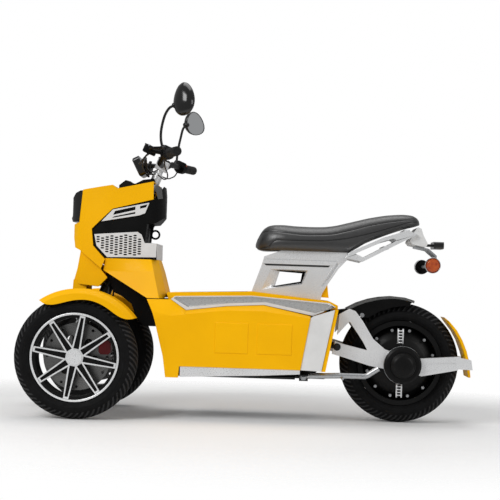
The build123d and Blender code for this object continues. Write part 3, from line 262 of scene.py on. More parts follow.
MATERIALS = {
    "yellow_body_paint": painted_abs("sprayed_abs_yellow", "#F7B703", "#F0B002"),
    "silver_paint": sprayed_metal("silver_lacquer_on_cast_aluminium", "#ECEDEE", "#E2E3E4",
                                  metallic=0.55, roughness=0.3, flake_mm=0.4),
    "pale_grey_plastic": moulded_plastic("pale_grey_abs", "#DCDCDB", "#D2D2D1", grain_mm=0.7, roughness=0.35),
    "channel_grey": drawn_metal("anodised_aluminium_extrusion", "#E2E2E1", "#D2D2D1",
                                roughness=0.32, stretch=(0.1, 1, 1)),
    "black_plastic": moulded_plastic("black_polypropylene", "#0A0A0A", "#050505",
                                     grain_mm=0.8, roughness=0.46, gloss=0.1),
    "black_frame_paint": sprayed_metal("black_chassis_enamel", "#0E0E0E", "#070707",
                                       metallic=0.0, roughness=0.36, flake_mm=0.8, gloss=0.35, coat=0.1),
    "motor_black": sprayed_metal("black_powder_coat", "#080808", "#040404",
                                 metallic=0.0, roughness=0.4, flake_mm=0.6, gloss=0.16, coat=0.03),
    "tyre_rubber": tyre_compound("tyre_compound", "#060606", "#0E0E0F", gloss=0.12),
    # The lighter rubber of the tread blocks is painted light on the crown; the grooves keep the dark rubber
    # as painted shade.
    "tread_painted_lighter": tyre_compound("tyre_compound_painted_lighter", "#1B1B1C", "#272728", gloss=0.3),
    "disc_steel": drawn_metal("ground_stainless_steel", "#8E8E8D", "#5F5F5E",
                              roughness=0.3, stretch=(1, 1, 1)),
    "bright_steel": drawn_metal("zinc_plated_steel", "#C4C6C8", "#A2A4A6",
                                roughness=0.3, stretch=(1, 1, 0.05)),
    "caliper_red": sprayed_metal("red_anodised_aluminium", "#6E0A10", "#4A060A",
                                 metallic=0.6, roughness=0.35, flake_mm=0.5),
    "lamp_black": moulded_plastic("polished_black_abs", "#0A0A0A", "#050505",
                                  grain_mm=1.5, roughness=0.14, gloss=0.6),
    "lamp_glass": clear_polycarbonate("smoked_polycarbonate"),
    "indicator_orange": lamp_plastic("amber_acrylic", "#B23A08", ribs_mm=4.0),
    "mirror_glass": silvered_glass("silvered_glass"),
    "saddle_leather": saddle_vinyl("grained_black_vinyl"),
    "grip_rubber": ribbed_rubber("ribbed_grip_rubber", rib_mm=5.0, direction="Y"),
    "mat_rubber": ribbed_rubber("ribbed_floor_rubber", rib_mm=9.0, direction="Y"),
    "hose_rubber": moulded_plastic("extruded_black_rubber", "#2A2A2B", "#1C1C1D",
                                   grain_mm=0.5, roughness=0.5, gloss=0.4),
    "battery_case": sprayed_metal("grey_battery_case", "#2A2A2A", "#1F1F1F",
                                  metallic=0.2, roughness=0.4, flake_mm=0.6),
}
SLOT_OF = {part["node"]: part["material_slot"] for part in frame["record"]["subparts"]}


def finish_with(thing, slot):
    """Gives a piece one of the object's finishes."""
    thing.data.materials.clear()
    thing.data.materials.append(MATERIALS[slot])


# CAD nodes: each keeps its form, and gets its finish and softened edges.

EDGE_MM = {
    "side_panels": 5.0, "head_fairing": 4.0, "knee_shield": 5.0, "front_shield": 4.0, "saddle_leg": 4.0,
    "channel_trims": 1.5, "left_fender": 1.2, "right_fender": 1.2, "rear_mudguard": 4.0, "rear_hugger": 4.0,
    "swing_arm": 4.0, "tail_cover": 3.0, "grab_rails": 2.5, "inner_fairing": 2.0, "floor_cover": 3.0,
}
WELD_MM = 0.01
SHARP_ANGLE = math.radians(32)


def soften(thing, width_mm):
    """Rounds the sharp edges and shades the rest smooth."""
    thing.data.polygons.foreach_set("use_smooth", [True] * len(thing.data.polygons))
    if "custom_normal" in thing.data.attributes:
        thing.data.attributes.remove(thing.data.attributes["custom_normal"])
    weld = thing.modifiers.new("weld", "WELD")
    weld.merge_threshold = WELD_MM * MM
    edge = thing.modifiers.new("edge", "BEVEL")
    edge.width = width_mm * MM
    edge.segments = 2
    edge.limit_method = "ANGLE"
    edge.angle_limit = SHARP_ANGLE
    edge.harden_normals = True


for name, node in NODES.items():
    finish_with(node, SLOT_OF[name])
    soften(node, EDGE_MM.get(name, 1.0))


# Geometry helpers

def piece(name, points, faces, slot, body, smooth=True):
    """A mesh piece of the object, with its finish, that rides on one of the moving bodies."""
    mesh = bpy.data.meshes.new(name)
    mesh.from_pydata([tuple(point) for point in points], [], faces)
    mesh.polygons.foreach_set("use_smooth", [smooth] * len(mesh.polygons))
    mesh.update()
    thing = bpy.data.objects.new(name, mesh)
    bpy.context.scene.collection.objects.link(thing)
    finish_with(thing, slot)
    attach(thing, body)
    return thing


def grid_faces(rows, columns, close_rows=False, close_columns=False):
    """The faces of a grid of points, row by row, closed round either way."""
    faces = []
    for i in range(rows if close_rows else rows - 1):
        for j in range(columns if close_columns else columns - 1):
            a = i * columns + j
            b = i * columns + (j + 1) % columns
            c = ((i + 1) % rows) * columns + (j + 1) % columns
            d = ((i + 1) % rows) * columns + j
            faces.append((a, b, c, d))
    return faces


def smooth_through(points, x):
    """The value at x of a curve through the points, without overshoot."""
    if x <= points[0][0]:
        return points[0][1]
    if x >= points[-1][0]:
        return points[-1][1]
    slopes = [(b[1] - a[1]) / (b[0] - a[0]) for a, b in zip(points, points[1:])]

    def tangent(i):
        if i == 0:
            return slopes[0]
        if i == len(points) - 1:
            return slopes[-1]
        before, after = slopes[i - 1], slopes[i]
        return 0.0 if before * after <= 0 else 2 * before * after / (before + after)

    for i, (low, high) in enumerate(zip(points, points[1:])):
        if x <= high[0]:
            span = high[0] - low[0]
            u = (x - low[0]) / span
            return ((2 * u ** 3 - 3 * u ** 2 + 1) * low[1] + (u ** 3 - 2 * u ** 2 + u) * span * tangent(i)
                    + (3 * u ** 2 - 2 * u ** 3) * high[1] + (u ** 3 - u ** 2) * span * tangent(i + 1))


def tube(name, path, radius, slot, body, sides=8):
    """A round bar or cord along a path in metres, with closed ends."""
    path = [Vector(point) for point in path]
    points = []
    side = None
    for i, point in enumerate(path):
        along = (path[min(i + 1, len(path) - 1)] - path[max(i - 1, 0)]).normalized()
        if side is None:
            side = along.orthogonal().normalized()
        side = (side - along * side.dot(along)).normalized()
        across = along.cross(side)
        for k in range(sides):
            turn = 2 * math.pi * k / sides
            points.append(point + radius * (math.cos(turn) * side + math.sin(turn) * across))
    faces = grid_faces(len(path), sides, close_columns=True)
    faces.append(tuple(reversed(range(sides))))
    faces.append(tuple(len(points) - sides + k for k in range(sides)))
    return piece(name, points, faces, slot, body)


def lathe(name, profile, centre, axis, slot, body, steps=48):
    """A form turned about an axis from (height, radius) points in metres."""
    axis = Vector(axis).normalized()
    side = axis.orthogonal().normalized()
    across = axis.cross(side)
    points = []
    for k in range(steps):
        turn = 2 * math.pi * k / steps
        out = math.cos(turn) * side + math.sin(turn) * across
        points += [Vector(centre) + axis * height + out * max(radius, 0.00001) for height, radius in profile]
    return piece(name, points, grid_faces(steps, len(profile), close_rows=True), slot, body)


BOLT_SIDES = 24
# The rings of a bolt's head: height and radius as shares of its width across the flats, and corners.
BOLT_RINGS = [(0, 0.72, 24), (0.12, 0.72, 24), (0.12, 0.5, 6), (0.5, 0.5, 6), (0.6, 0.4, 6), (0.6, 0.001, 6)]


def hex_bolt(name, place, axis, across_mm, slot, body):
    """A hexagon head on a washer, with a chamfered crown."""
    axis = Vector(axis).normalized()
    side = axis.orthogonal().normalized()
    over = axis.cross(side)
    points = []
    for height, radius, corners in BOLT_RINGS:
        step = BOLT_SIDES // corners
        for k in range(BOLT_SIDES):
            turn = 2 * math.pi * (round(k / step) * step) / BOLT_SIDES
            reach = across_mm * MM * radius
            points.append(Vector(place) + axis * height * across_mm * MM
                          + reach * (math.cos(turn) * side + math.sin(turn) * over))
    faces = grid_faces(len(BOLT_RINGS), BOLT_SIDES, close_columns=True)
    return piece(name, points, faces, slot, body, smooth=False)


def curve(points, steps=10):
    """A smooth path through points in millimetres, in metres."""
    points = [Vector(point) for point in points]
    path = []
    for i in range(len(points) - 1):
        p0 = points[max(i - 1, 0)]
        p1, p2 = points[i], points[i + 1]
        p3 = points[min(i + 2, len(points) - 1)]
        for k in range(steps):
            u = k / steps
            path.append(0.5 * ((2 * p1) + (p2 - p0) * u + (2 * p0 - 5 * p1 + 4 * p2 - p3) * u * u
                               + (3 * p1 - p0 - 3 * p2 + p3) * u ** 3) * MM)
    path.append(points[-1] * MM)
    return path


def block(name, place, size, turn, slot, body, edge=2.5):
    """A block with rounded edges, sizes in millimetres."""
    form = bmesh.new()
    bmesh.ops.create_cube(form, size=1.0)
    for corner in form.verts:
        corner.co = Vector([corner.co[axis] * size[axis] * MM for axis in range(3)])
    bmesh.ops.bevel(form, geom=form.edges[:], offset=edge * MM, segments=3, affect="EDGES", profile=0.5)
    form.verts.index_update()
    points = [Vector(place) * MM + turn @ corner.co for corner in form.verts]
    faces = [tuple(corner.index for corner in face.verts) for face in form.faces]
    form.free()
    return piece(name, points, faces, slot, body)


# Wheels: tyres with their tread, and the two-tone rims; and the faces of other nodes with a second finish.

BEAD_R = 0.1673
CROWN_STEPS = 32
WALL_STEPS = 18
TYRE_STEPS = 480
# Where a tyre's shoulder, its bead and its plain middle lie, as shares of half its width.
SHOULDER_ACROSS = 0.86
SHOULDER_DOWN = 0.46
BEAD_ACROSS = 0.72
PLAIN_MIDDLE = 0.12
# Two grooves with raised lips round each wall, by the wall's steps from the shoulder.
WALL_RINGS = {7: 0.0004, 8: -0.0014, 9: 0.0004, 14: 0.0004, 15: -0.0014, 16: 0.0004}
# How far the lighter finish of the blocks keeps from a groove, as a share of the groove's width: the dark
# rubber left round each groove is painted shade.
PAINTED_SHADE_CLEARANCE = 1.3


def tread_depth(around_m, across, pitch, slant, width, inner, outer):
    """How deep a tyre is cut at a place, as a share: slanted grooves from inner to outer on either side of
    its middle, half a pitch apart."""
    run_out = 0.004
    flank = 0.0012
    if not inner < abs(across) < outer:
        return 0.0
    shifted = around_m - slant * abs(across) + (pitch / 2 if across > 0 else 0)
    off = abs((shifted / pitch + 0.5) % 1.0 - 0.5) * pitch
    ends = min(1.0, (abs(across) - inner) / run_out, (outer - abs(across)) / run_out)
    return max(0.0, min(1.0, (width - off) / flank)) * ends


def tyre_profile(radius, half, shoulder_y):
    """A tyre's outline from bead to bead, as points across and out from the axle: a round crown between two
    bulging walls."""
    shoulder_r = radius - half * SHOULDER_DOWN
    bead_y = half * BEAD_ACROSS
    sag = radius - shoulder_r
    curve_r = (shoulder_y ** 2 + sag ** 2) / (2 * sag)
    crown = []
    for i in range(CROWN_STEPS + 1):
        y = -shoulder_y + 2 * shoulder_y * i / CROWN_STEPS
        crown.append((y, radius - curve_r + math.sqrt(curve_r ** 2 - y ** 2)))
    wall = []
    for i in range(1, WALL_STEPS + 1):
        u = i / WALL_STEPS
        r = shoulder_r + (BEAD_R - shoulder_r) * u
        bulge = (half - (shoulder_y + bead_y) / 2) * 4 * u * (1 - u)
        y = shoulder_y + (bead_y - shoulder_y) * u + bulge
        wall.append((min(y, half) + WALL_RINGS.get(i, 0.0), r))
    return [(-y, r) for y, r in reversed(wall)] + crown + wall


def tyre(name, node, body, radius, pitches, slant, width, depth_mm):
    """A tyre with grooves over its crown and shoulders, and moulded rings on each wall. The blocks between
    the grooves have a lighter finish, painted light on the crown, and the grooves stay dark as painted shade."""
    centre = middle(node)
    low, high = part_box(node)
    half = (high.y - low.y) / 2
    shoulder_y = half * SHOULDER_ACROSS
    profile = tyre_profile(radius, half, shoulder_y)
    places = [0.0]
    for a, b in zip(profile, profile[1:]):
        places.append(places[-1] + math.hypot(b[0] - a[0], b[1] - a[1]))
    places = [place - places[-1] / 2 for place in places]
    pitch = 2 * math.pi * radius / pitches
    inner = half * PLAIN_MIDDLE
    # The grooves run on past the shoulder, some way down the wall.
    outer = shoulder_y * 1.04 + 0.013
    points = []
    painted_lighter_points = set()
    for k in range(TYRE_STEPS):
        turn = 2 * math.pi * k / TYRE_STEPS
        around = turn * radius
        for (y, r), across in zip(profile, places):
            near_groove = tread_depth(around, across, pitch, slant, width * PAINTED_SHADE_CLEARANCE, inner, outer)
            if abs(across) < outer and not near_groove:
                painted_lighter_points.add(len(points))
            cut = depth_mm * MM * tread_depth(around, across, pitch, slant, width, inner, outer)
            # Towards the wall a groove is cut less down and more inwards.
            lean = min(1.0, abs(y) / half) ** 3
            r -= cut * (1 - 0.6 * lean)
            y -= math.copysign(cut * 0.8 * lean, y)
            points.append((centre.x + r * math.cos(turn), centre.y + y, centre.z + r * math.sin(turn)))
    faces = grid_faces(TYRE_STEPS, len(profile), close_rows=True)
    made = piece(name, points, faces, "tyre_rubber", body)
    # The blocks between the grooves take the lighter finish as painted light; the grooves keep the dark one
    # as painted shade.
    made.data.materials.append(MATERIALS["tread_painted_lighter"])
    for face in made.data.polygons:
        face.material_index = 1 if painted_lighter_points.issuperset(face.vertices) else 0
    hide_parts(node)


def second_finish(node, slot, chosen):
    """Gives some of a CAD node's faces another finish, picked by their centre and normal."""
    thing = NODES[node]
    thing.data.materials.append(MATERIALS[slot])
    spot = len(thing.data.materials) - 1
    to_world = thing.matrix_world
    turn = to_world.to_3x3()
    for face in thing.data.polygons:
        if chosen(to_world @ face.center, turn @ face.normal):
            face.material_index = spot


# A face looks outwards where its normal goes that far out.
OUTWARDS = 0.9
SPOKE_REACH = 0.158
FACE_DEPTH = 0.0028
LIP_SET_IN = 0.001
# The bright lip round the rim: height from there, and radius.
RIM_LIP = [(-0.001, 0.1585), (0.0012, 0.159), (0.0016, 0.1605), (0.0016, 0.1655), (0.001, 0.1668),
           (-0.001, 0.1671)]


def rim_face(node, outward):
    """How far out a rim's outer face lies."""
    low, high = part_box(node)
    return low.y if outward < 0 else high.y


def machined(node, outward):
    """Which faces of a rim are turned bright: the lips of its spokes, and its cap."""
    axle = middle(node)
    face_y = rim_face(node, outward)

    def chosen(place, normal):
        reach = math.hypot(place.x - axle.x, place.z - axle.z)
        return normal.y * outward > OUTWARDS and abs(place.y - face_y) < FACE_DEPTH and reach < SPOKE_REACH

    return chosen


FRONT_TREAD = {"pitches": 62, "slant": 0.9, "width": 0.0034, "depth_mm": 4.5}
REAR_TREAD = {"pitches": 66, "slant": 0.6, "width": 0.0036, "depth_mm": 5.0}
tyre("left_front_tread", "left_front_tyre", "left_front_wheel", FRONT_R, **FRONT_TREAD)
tyre("right_front_tread", "right_front_tyre", "right_front_wheel", FRONT_R, **FRONT_TREAD)
tyre("rear_tread", "rear_tyre", "rear_wheel", REAR_R, **REAR_TREAD)
for rim, outward in (("left_front_rim", -1), ("right_front_rim", 1)):
    finish_with(NODES[rim], "motor_black")
    second_finish(rim, "silver_paint", machined(rim, outward))
    edge = Vector((middle(rim).x, rim_face(rim, outward) - outward * LIP_SET_IN, middle(rim).z))
    lathe(f"{rim}_lip", RIM_LIP, edge, (0, outward, 0), "silver_paint", rim.replace("_rim", "_wheel"), 96)


SIDEWAYS = 0.85


def outer_rim_of_trough(place, normal):
    """The flat outer edge of the deck's channel, which is lacquered pale."""
    edge_width = 0.003
    return abs(normal.y) > SIDEWAYS and abs(place.y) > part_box("channel_trims")[1].y - edge_width


WINDOW_X = (0.08, 0.214)
WINDOW_Z = (0.505, 0.597)
WINDOW_HALF = 0.067
# The opening's front wall looks back, and stays white.
FRONT_WALL = 0.5


def window_wall(place, normal):
    """The walls of the leg's opening above, below and behind it, which are lined with black rubber."""
    along = WINDOW_X[0] < place.x < WINDOW_X[1]
    up = WINDOW_Z[0] < place.z < WINDOW_Z[1]
    inside = along and up and abs(place.y) < WINDOW_HALF
    return inside and abs(normal.y) < SIDEWAYS and normal.x < FRONT_WALL


INDICATOR_FACE = (0.6927, 0.1795, 0.6224)


def lens_side(place, normal):
    """The outward face of an indicator."""
    return normal.y * place.y > 0 and abs(place.y) > INDICATOR_FACE[1]


BLOCK_TOP = 0.676
BLOCK_FRONT = -0.38


def block_end(place, normal):
    """The pale end of the block under the dash."""
    return normal.x > 0.8 and place.z < BLOCK_TOP and place.x > BLOCK_FRONT


second_finish("channel_trims", "pale_grey_plastic", outer_rim_of_trough)
second_finish("saddle_leg", "black_plastic", window_wall)
finish_with(NODES["rear_indicators"], "black_plastic")
second_finish("rear_indicators", "indicator_orange", lens_side)
second_finish("inner_fairing", "pale_grey_plastic", block_end)
finish_with(NODES["plate_bracket"], "bright_steel")
finish_with(NODES["dash_trims"], "disc_steel")
finish_with(NODES["hub_covers"], "motor_black")


# Saddle: a crowned foam form under a stretched cover, with two seams a side.

# The saddle from the side and from above, in millimetres along it and up, or out from its middle.
SADDLE_TOP = [(8, 686), (12, 699), (20, 716), (31, 736), (44, 751), (62, 761), (84, 765), (112, 766),
              (165, 763), (221, 762), (265, 763), (310, 768), (379, 785), (461, 806), (537, 819),
              (588, 822.5), (620, 820), (640, 812), (650, 802), (656, 790)]
SADDLE_LOW = [(8, 676), (20, 666), (45, 662), (111, 664.6), (374, 665), (400, 678), (445, 706), (531, 743),
              (600, 768), (647, 781), (656, 784)]
SADDLE_WIDE = [(8, 4), (11, 26), (16, 42), (26, 60), (40, 76), (62, 92), (90, 103), (130, 109), (180, 110),
               (280, 107), (430, 93), (560, 86), (610, 80), (635, 68), (648, 50), (654, 28), (656, 6)]
SEAM_HIGH = [(14, 698), (33.5, 731), (62, 739.6), (136.6, 733), (205, 728), (291, 732), (376.5, 751),
             (461.5, 775), (547, 791), (620.6, 799), (650, 793)]
SEAM_LOW = [(30, 668), (59, 675), (75, 694), (97.5, 704), (177.8, 704.5), (263.5, 706), (348.5, 716),
            (434, 736), (519, 761), (575, 779), (620, 792), (650, 790)]
TUCK = math.radians(38)
# The height of the saddle's widest place, as a share of its section, and how full its sides and crown are.
WAIST = 0.36
SIDE_FULLNESS = 0.62
CROWN_FULLNESS = 1.12


def saddle_point(x, turn):
    """A point of the cover's right half at a station, from the tucked lower edge up to the crown."""
    top = smooth_through(SADDLE_TOP, x)
    low = smooth_through(SADDLE_LOW, x)
    wide = smooth_through(SADDLE_WIDE, x)
    waist = low + (top - low) * WAIST
    y = wide * max(0.0, math.cos(turn)) ** SIDE_FULLNESS
    if turn >= 0:
        return y, waist + (top - waist) * math.sin(turn) ** CROWN_FULLNESS
    return y, waist - (waist - low) * math.sin(-turn) / math.sin(TUCK)


def turn_at_height(x, height):
    """The turn at which the cover's section reaches a height."""
    low, high = -TUCK, math.pi / 2
    for _ in range(30):
        mid = (low + high) / 2
        if saddle_point(x, mid)[1] < height:
            low = mid
        else:
            high = mid
    return (low + high) / 2


SADDLE_FRONT = 8
SADDLE_LENGTH = 648
SADDLE_STEPS = 150
# The section's usual radius, the half width and the depth of a seam's valley, and the swell of a panel.
SECTION_R = 95
SEAM_HALF = 3.2
SEAM_SINK = 1.8
PANEL_SWELL = 1.6
# Where the points of a panel lie between its two seams: closer beside them, for the valleys.
PANEL_SHARES = [0.0, 0.025, 0.06, 0.12, 0.22, 0.34, 0.5, 0.66, 0.78, 0.88, 0.94, 0.975]


def saddle_section(x):
    """The cover's right half at a station, from its lower edge to the crown: three swelling panels, with a
    valley at each seam between them."""
    seams = [turn_at_height(x, smooth_through(seam, x)) for seam in (SEAM_LOW, SEAM_HIGH)]
    seams[1] = max(seams[1], seams[0] + 0.05)
    marks = [-TUCK, *seams, math.pi / 2]
    turns = []
    for k in range(3):
        turns += [(marks[k] + (marks[k + 1] - marks[k]) * share, k) for share in PANEL_SHARES]
    turns.append((marks[3], 2))
    half = []
    for turn, k in turns:
        y, z = saddle_point(x, turn)
        share = min(1.0, max(0.0, (turn - marks[k]) / (marks[k + 1] - marks[k])))
        swell = PANEL_SWELL * math.sin(math.pi * share)
        sink = sum(math.exp(-((turn - seam) * SECTION_R / SEAM_HALF) ** 2) for seam in seams) * SEAM_SINK
        out = swell - sink
        out_y = out * math.cos(turn) if y > 3 else 0
        out_z = out * math.sin(turn) if turn > 0 else 0
        half.append((y + out_y, z + out_z))
    return half


def saddle():
    """The saddle's cover, with a valley along each seam. It gives back the stations along its length."""
    stations = [SADDLE_FRONT + SADDLE_LENGTH * (1 - math.cos(math.pi * i / SADDLE_STEPS)) / 2
                for i in range(SADDLE_STEPS + 1)]
    points = []
    for x in stations:
        half = saddle_section(x)
        ring = [(x, y, z) for y, z in half] + [(x, -y, z) for y, z in reversed(half[:-1])]
        points += [Vector(point) * MM for point in ring]
    count = len(points) // len(stations)
    faces = grid_faces(len(stations), count, close_columns=True)
    faces.append(tuple(reversed(range(count))))
    faces.append(tuple(len(points) - count + k for k in range(count)))
    cover = piece("saddle_cover", points, faces, "saddle_leather", "chassis")
    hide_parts("saddle_cushion")
    return stations


WELT_R = 1.1
WELT_SINK = 0.6


def seam_welts(stations):
    """A thin welt in each seam, a little below the cover's surface."""
    for name, seam, first, last in (("upper", SEAM_HIGH, 16, 646), ("lower", SEAM_LOW, 60, 612)):
        for side, word in ((-1, "left"), (1, "right")):
            path = []
            for x in stations:
                if first <= x <= last:
                    turn = turn_at_height(x, smooth_through(seam, x))
                    y, z = saddle_point(x, turn)
                    in_y, in_z = WELT_SINK * math.cos(turn), WELT_SINK * math.sin(turn)
                    path.append(Vector((x, side * (y - in_y), z - in_z)) * MM)
            tube(f"saddle_welt_{name}_{word}", path, WELT_R * MM, "hose_rubber", "chassis", 6)


seam_welts(saddle())


# Small parts: the rear wheel's cover, mirrors, springs, controls, cables, lamp and fasteners.

def both(make):
    """Makes a part on the left and again on the right."""
    for side, word in ((-1, "left"), (1, "right")):
        make(side, word)


MOTOR_HALF = 0.052
MOTOR_BOLTS = 12
BOLT_CIRCLE = 0.1325
# The slotted bars: half the distance between two, their points outwards, and the rungs between them.
BAR_HALF = 0.0095
BAR_REACHES = (0.076, 0.1, 0.124, 0.136)
BAR_R = 0.0034
RUNG_FIRST = 0.081
RUNG_STEP = 0.0115
RUNG_R = 0.0026
HUB_RING_Y = 0.1262


def rear_wheel_details(side, word):
    """Bolts round the motor's cover, the slotted bars above and below the axle, and the bright ring round
    the hub."""
    face = REAR_AXLE.y + side * MOTOR_HALF
    x, z = REAR_AXLE.x, REAR_AXLE.z
    for k in range(MOTOR_BOLTS):
        turn = math.radians(15 + k * 360 / MOTOR_BOLTS)
        place = (x + BOLT_CIRCLE * math.sin(turn), face, z + BOLT_CIRCLE * math.cos(turn))
        hex_bolt(f"motor_bolt_{word}_{k}", place, (0, side, 0), 8, "bright_steel", "rear_wheel")
    for up, level in ((-1, "lower"), (1, "upper")):
        for across, end in ((-1, "front"), (1, "rear")):
            path = [(x + across * BAR_HALF, face, z + up * reach) for reach in BAR_REACHES]
            tube(f"motor_bar_{word}_{level}_{end}", path, BAR_R, "silver_paint", "rear_wheel")
        for step in range(5):
            height = z + up * (RUNG_FIRST + step * RUNG_STEP)
            path = [(x - BAR_HALF, face, height), (x + BAR_HALF, face, height)]
            tube(f"motor_rung_{word}_{level}_{step}", path, RUNG_R, "silver_paint", "rear_wheel")
    low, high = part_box("hub_covers")
    hub = (high.x - low.x) / 2
    ring = [(-0.0012, hub), (0.0, hub + 0.0014), (0.0012, hub), (0.0, hub - 0.001)]
    centre = Vector(((low.x + high.x) / 2, side * HUB_RING_Y, (low.z + high.z) / 2))
    lathe(f"hub_ring_{word}", ring, centre, (0, side, 0), "bright_steel", "chassis", 96)


both(rear_wheel_details)


MIRROR_LONG = 0.064
MIRROR_TALL = 0.046
MIRROR_TAPER = 0.010
MIRROR_SIDES = 40
# The mirror's shell from its border to the middle of its back: how far ahead, and share of its full size.
MIRROR_RINGS = [(0.0, 0.96), (0.0, 1.0), (-0.004, 1.02), (-0.012, 0.99), (-0.022, 0.86), (-0.03, 0.62),
                (-0.034, 0.3), (-0.0345, 0.01)]
STEM_NUT = [(-0.004, 0), (-0.004, 0.011), (0.010, 0.011), (0.013, 0.008), (0.016, 0.007), (0.016, 0)]
STEM_JOINT = [(-0.014, 0.001), (-0.013, 0.006), (-0.008, 0.0098), (0.0, 0.0112), (0.008, 0.0098),
              (0.013, 0.006), (0.014, 0.001)]


def mirror(side, word):
    """A teardrop mirror on a bent stem, its glass set in a thin border, with a nut at the stem's foot and a
    ball joint at its head. The far mirror is turned the other way."""
    if side < 0:
        place, yaw, pitch, roll = (-263, -300, 1208), 52, 8, 78
        stem = [(-345, -262, 1024), (-353, -264, 1060), (-352, -268, 1100), (-340, -276, 1148),
                (-322, -286, 1176), (-300, -296, 1184)]
    else:
        place, yaw, pitch, roll = (-271, 300, 1199), -32, 6, -14
        stem = [(-345, 262, 1024), (-343, 263, 1060), (-338, 264, 1100), (-330, 262, 1140),
                (-322, 258, 1172), (-309, 256, 1190)]
    place = Vector(place) * MM
    turn = Matrix.Rotation(math.radians(yaw), 3, "Z") @ Matrix.Rotation(math.radians(pitch), 3, "Y")
    roll = Matrix.Rotation(math.radians(roll), 3, "X")

    def outline(ahead, share):
        """One ring of the teardrop, that far ahead of its border and at a share of its full size."""
        ring = []
        for k in range(MIRROR_SIDES):
            angle = 2 * math.pi * k / MIRROR_SIDES
            wide = MIRROR_LONG * math.cos(angle)
            tall = (MIRROR_TALL - MIRROR_TAPER * math.cos(angle)) * math.sin(angle)
            ring.append(place + turn @ (roll @ Vector((ahead, share * wide, share * tall))))
        return ring

    shell = [point for ahead, share in MIRROR_RINGS for point in outline(ahead, share)]
    faces = grid_faces(len(MIRROR_RINGS), MIRROR_SIDES, close_columns=True)
    piece(f"mirror_shell_{word}", shell, faces, "lamp_black", "steering_gear")
    glass = outline(-0.0015, 0.96)
    inner = [place + (point - place) * 0.2 + turn @ Vector((0.0008, 0, 0)) for point in glass]
    faces = grid_faces(2, MIRROR_SIDES, close_columns=True) + [tuple(range(MIRROR_SIDES, 2 * MIRROR_SIDES))]
    piece(f"mirror_pane_{word}", glass + inner, faces, "mirror_glass", "steering_gear")
    tube(f"mirror_stem_{word}", curve(stem), 5.0 * MM, "black_frame_paint", "steering_gear", 12)
    foot, head = Vector(stem[0]) * MM, Vector(stem[-1]) * MM
    lathe(f"mirror_nut_{word}", STEM_NUT, foot, (0, 0, 1), "black_frame_paint", "steering_gear", 24)
    out = turn @ Vector((1, 0, 0))
    lathe(f"mirror_joint_{word}", STEM_JOINT, head, out, "black_frame_paint", "steering_gear", 24)


both(mirror)
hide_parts("mirrors")
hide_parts("mirror_glasses")


# The ends of a front shock absorber, out from the middle and up.
SHOCK_FOOT = (0.149, 0.307)
SHOCK_HEAD = (0.084, 0.452)
COIL_R = 0.0255
COIL_WIRE_R = 0.0032
COIL_TURNS = 6.5
COIL_STEPS = 150


def springs(side, word):
    """The coil spring round each front shock absorber."""
    foot = Vector((FRONT_AXLE.x, side * SHOCK_FOOT[0], SHOCK_FOOT[1]))
    head = Vector((FRONT_AXLE.x, side * SHOCK_HEAD[0], SHOCK_HEAD[1]))
    along = (head - foot).normalized()
    over = Vector((1, 0, 0))
    out = along.cross(over)
    first, last = foot + along * 0.026, head - along * 0.016
    path = []
    for k in range(COIL_STEPS + 1):
        angle = 2 * math.pi * COIL_TURNS * k / COIL_STEPS
        offset = COIL_R * (math.cos(angle) * over + math.sin(angle) * out)
        path.append(first + (last - first) * k / COIL_STEPS + offset)
    tube(f"spring_{word}", path, COIL_WIRE_R, "bright_steel", "chassis", 8)


both(springs)


COLUMN_RAKE = math.radians(22.5)
LEVER_BALL = [(-0.0075, 0.0005), (-0.006, 0.005), (0, 0.0078), (0.006, 0.005), (0.0075, 0.0005)]


def controls(side, word):
    """On each side of the bar: the fluid reservoir with its lid and screws, the switch block with its
    buttons, and the lever's ball end and pivot."""
    body = "steering_gear"
    lean = Matrix.Rotation(COLUMN_RAKE, 3, "Y")
    block(f"reservoir_{word}", (-398, side * 226, 1022), (48, 36, 28), lean, "black_plastic", body, edge=4)
    block(f"reservoir_lid_{word}", (-392, side * 226, 1036), (50, 38, 5), lean, "lamp_black", body, edge=1.5)
    for spot, end in ((-14, "front"), (14, "rear")):
        head = Vector((-391.5, side * 226, 1038.5)) * MM + lean @ Vector((spot * MM, spot * 0.5 * MM, 0))
        hex_bolt(f"lid_screw_{word}_{end}", head, lean @ Vector((0, 0, 1)), 5, "bright_steel", body)
    block(f"switch_block_{word}", (-328, side * 262, 1012), (40, 30, 46), lean, "black_plastic", body, edge=6)
    for button, high in (("red", 12), ("grey", 0), ("black", -12)):
        slot = "indicator_orange" if button == "red" and side > 0 else "hose_rubber"
        place = (-307 + high * 0.38, side * 262, 1005 + high)
        block(f"switch_{button}_{word}", place, (5, 14, 8), lean, slot, body, edge=1.6)
    ball = Vector((-331, side * 349, 1019.6)) * MM
    lathe(f"lever_ball_{word}", LEVER_BALL, ball, (0, 0, 1), "black_frame_paint", body, 20)
    pivot = Vector((-397, side * 247, 1036)) * MM
    hex_bolt(f"lever_pivot_{word}", pivot, (-0.38, 0, 0.92), 9, "bright_steel", body)


both(controls)


CABLE_R = 2.6 * MM
LOOM_R = 4.5 * MM


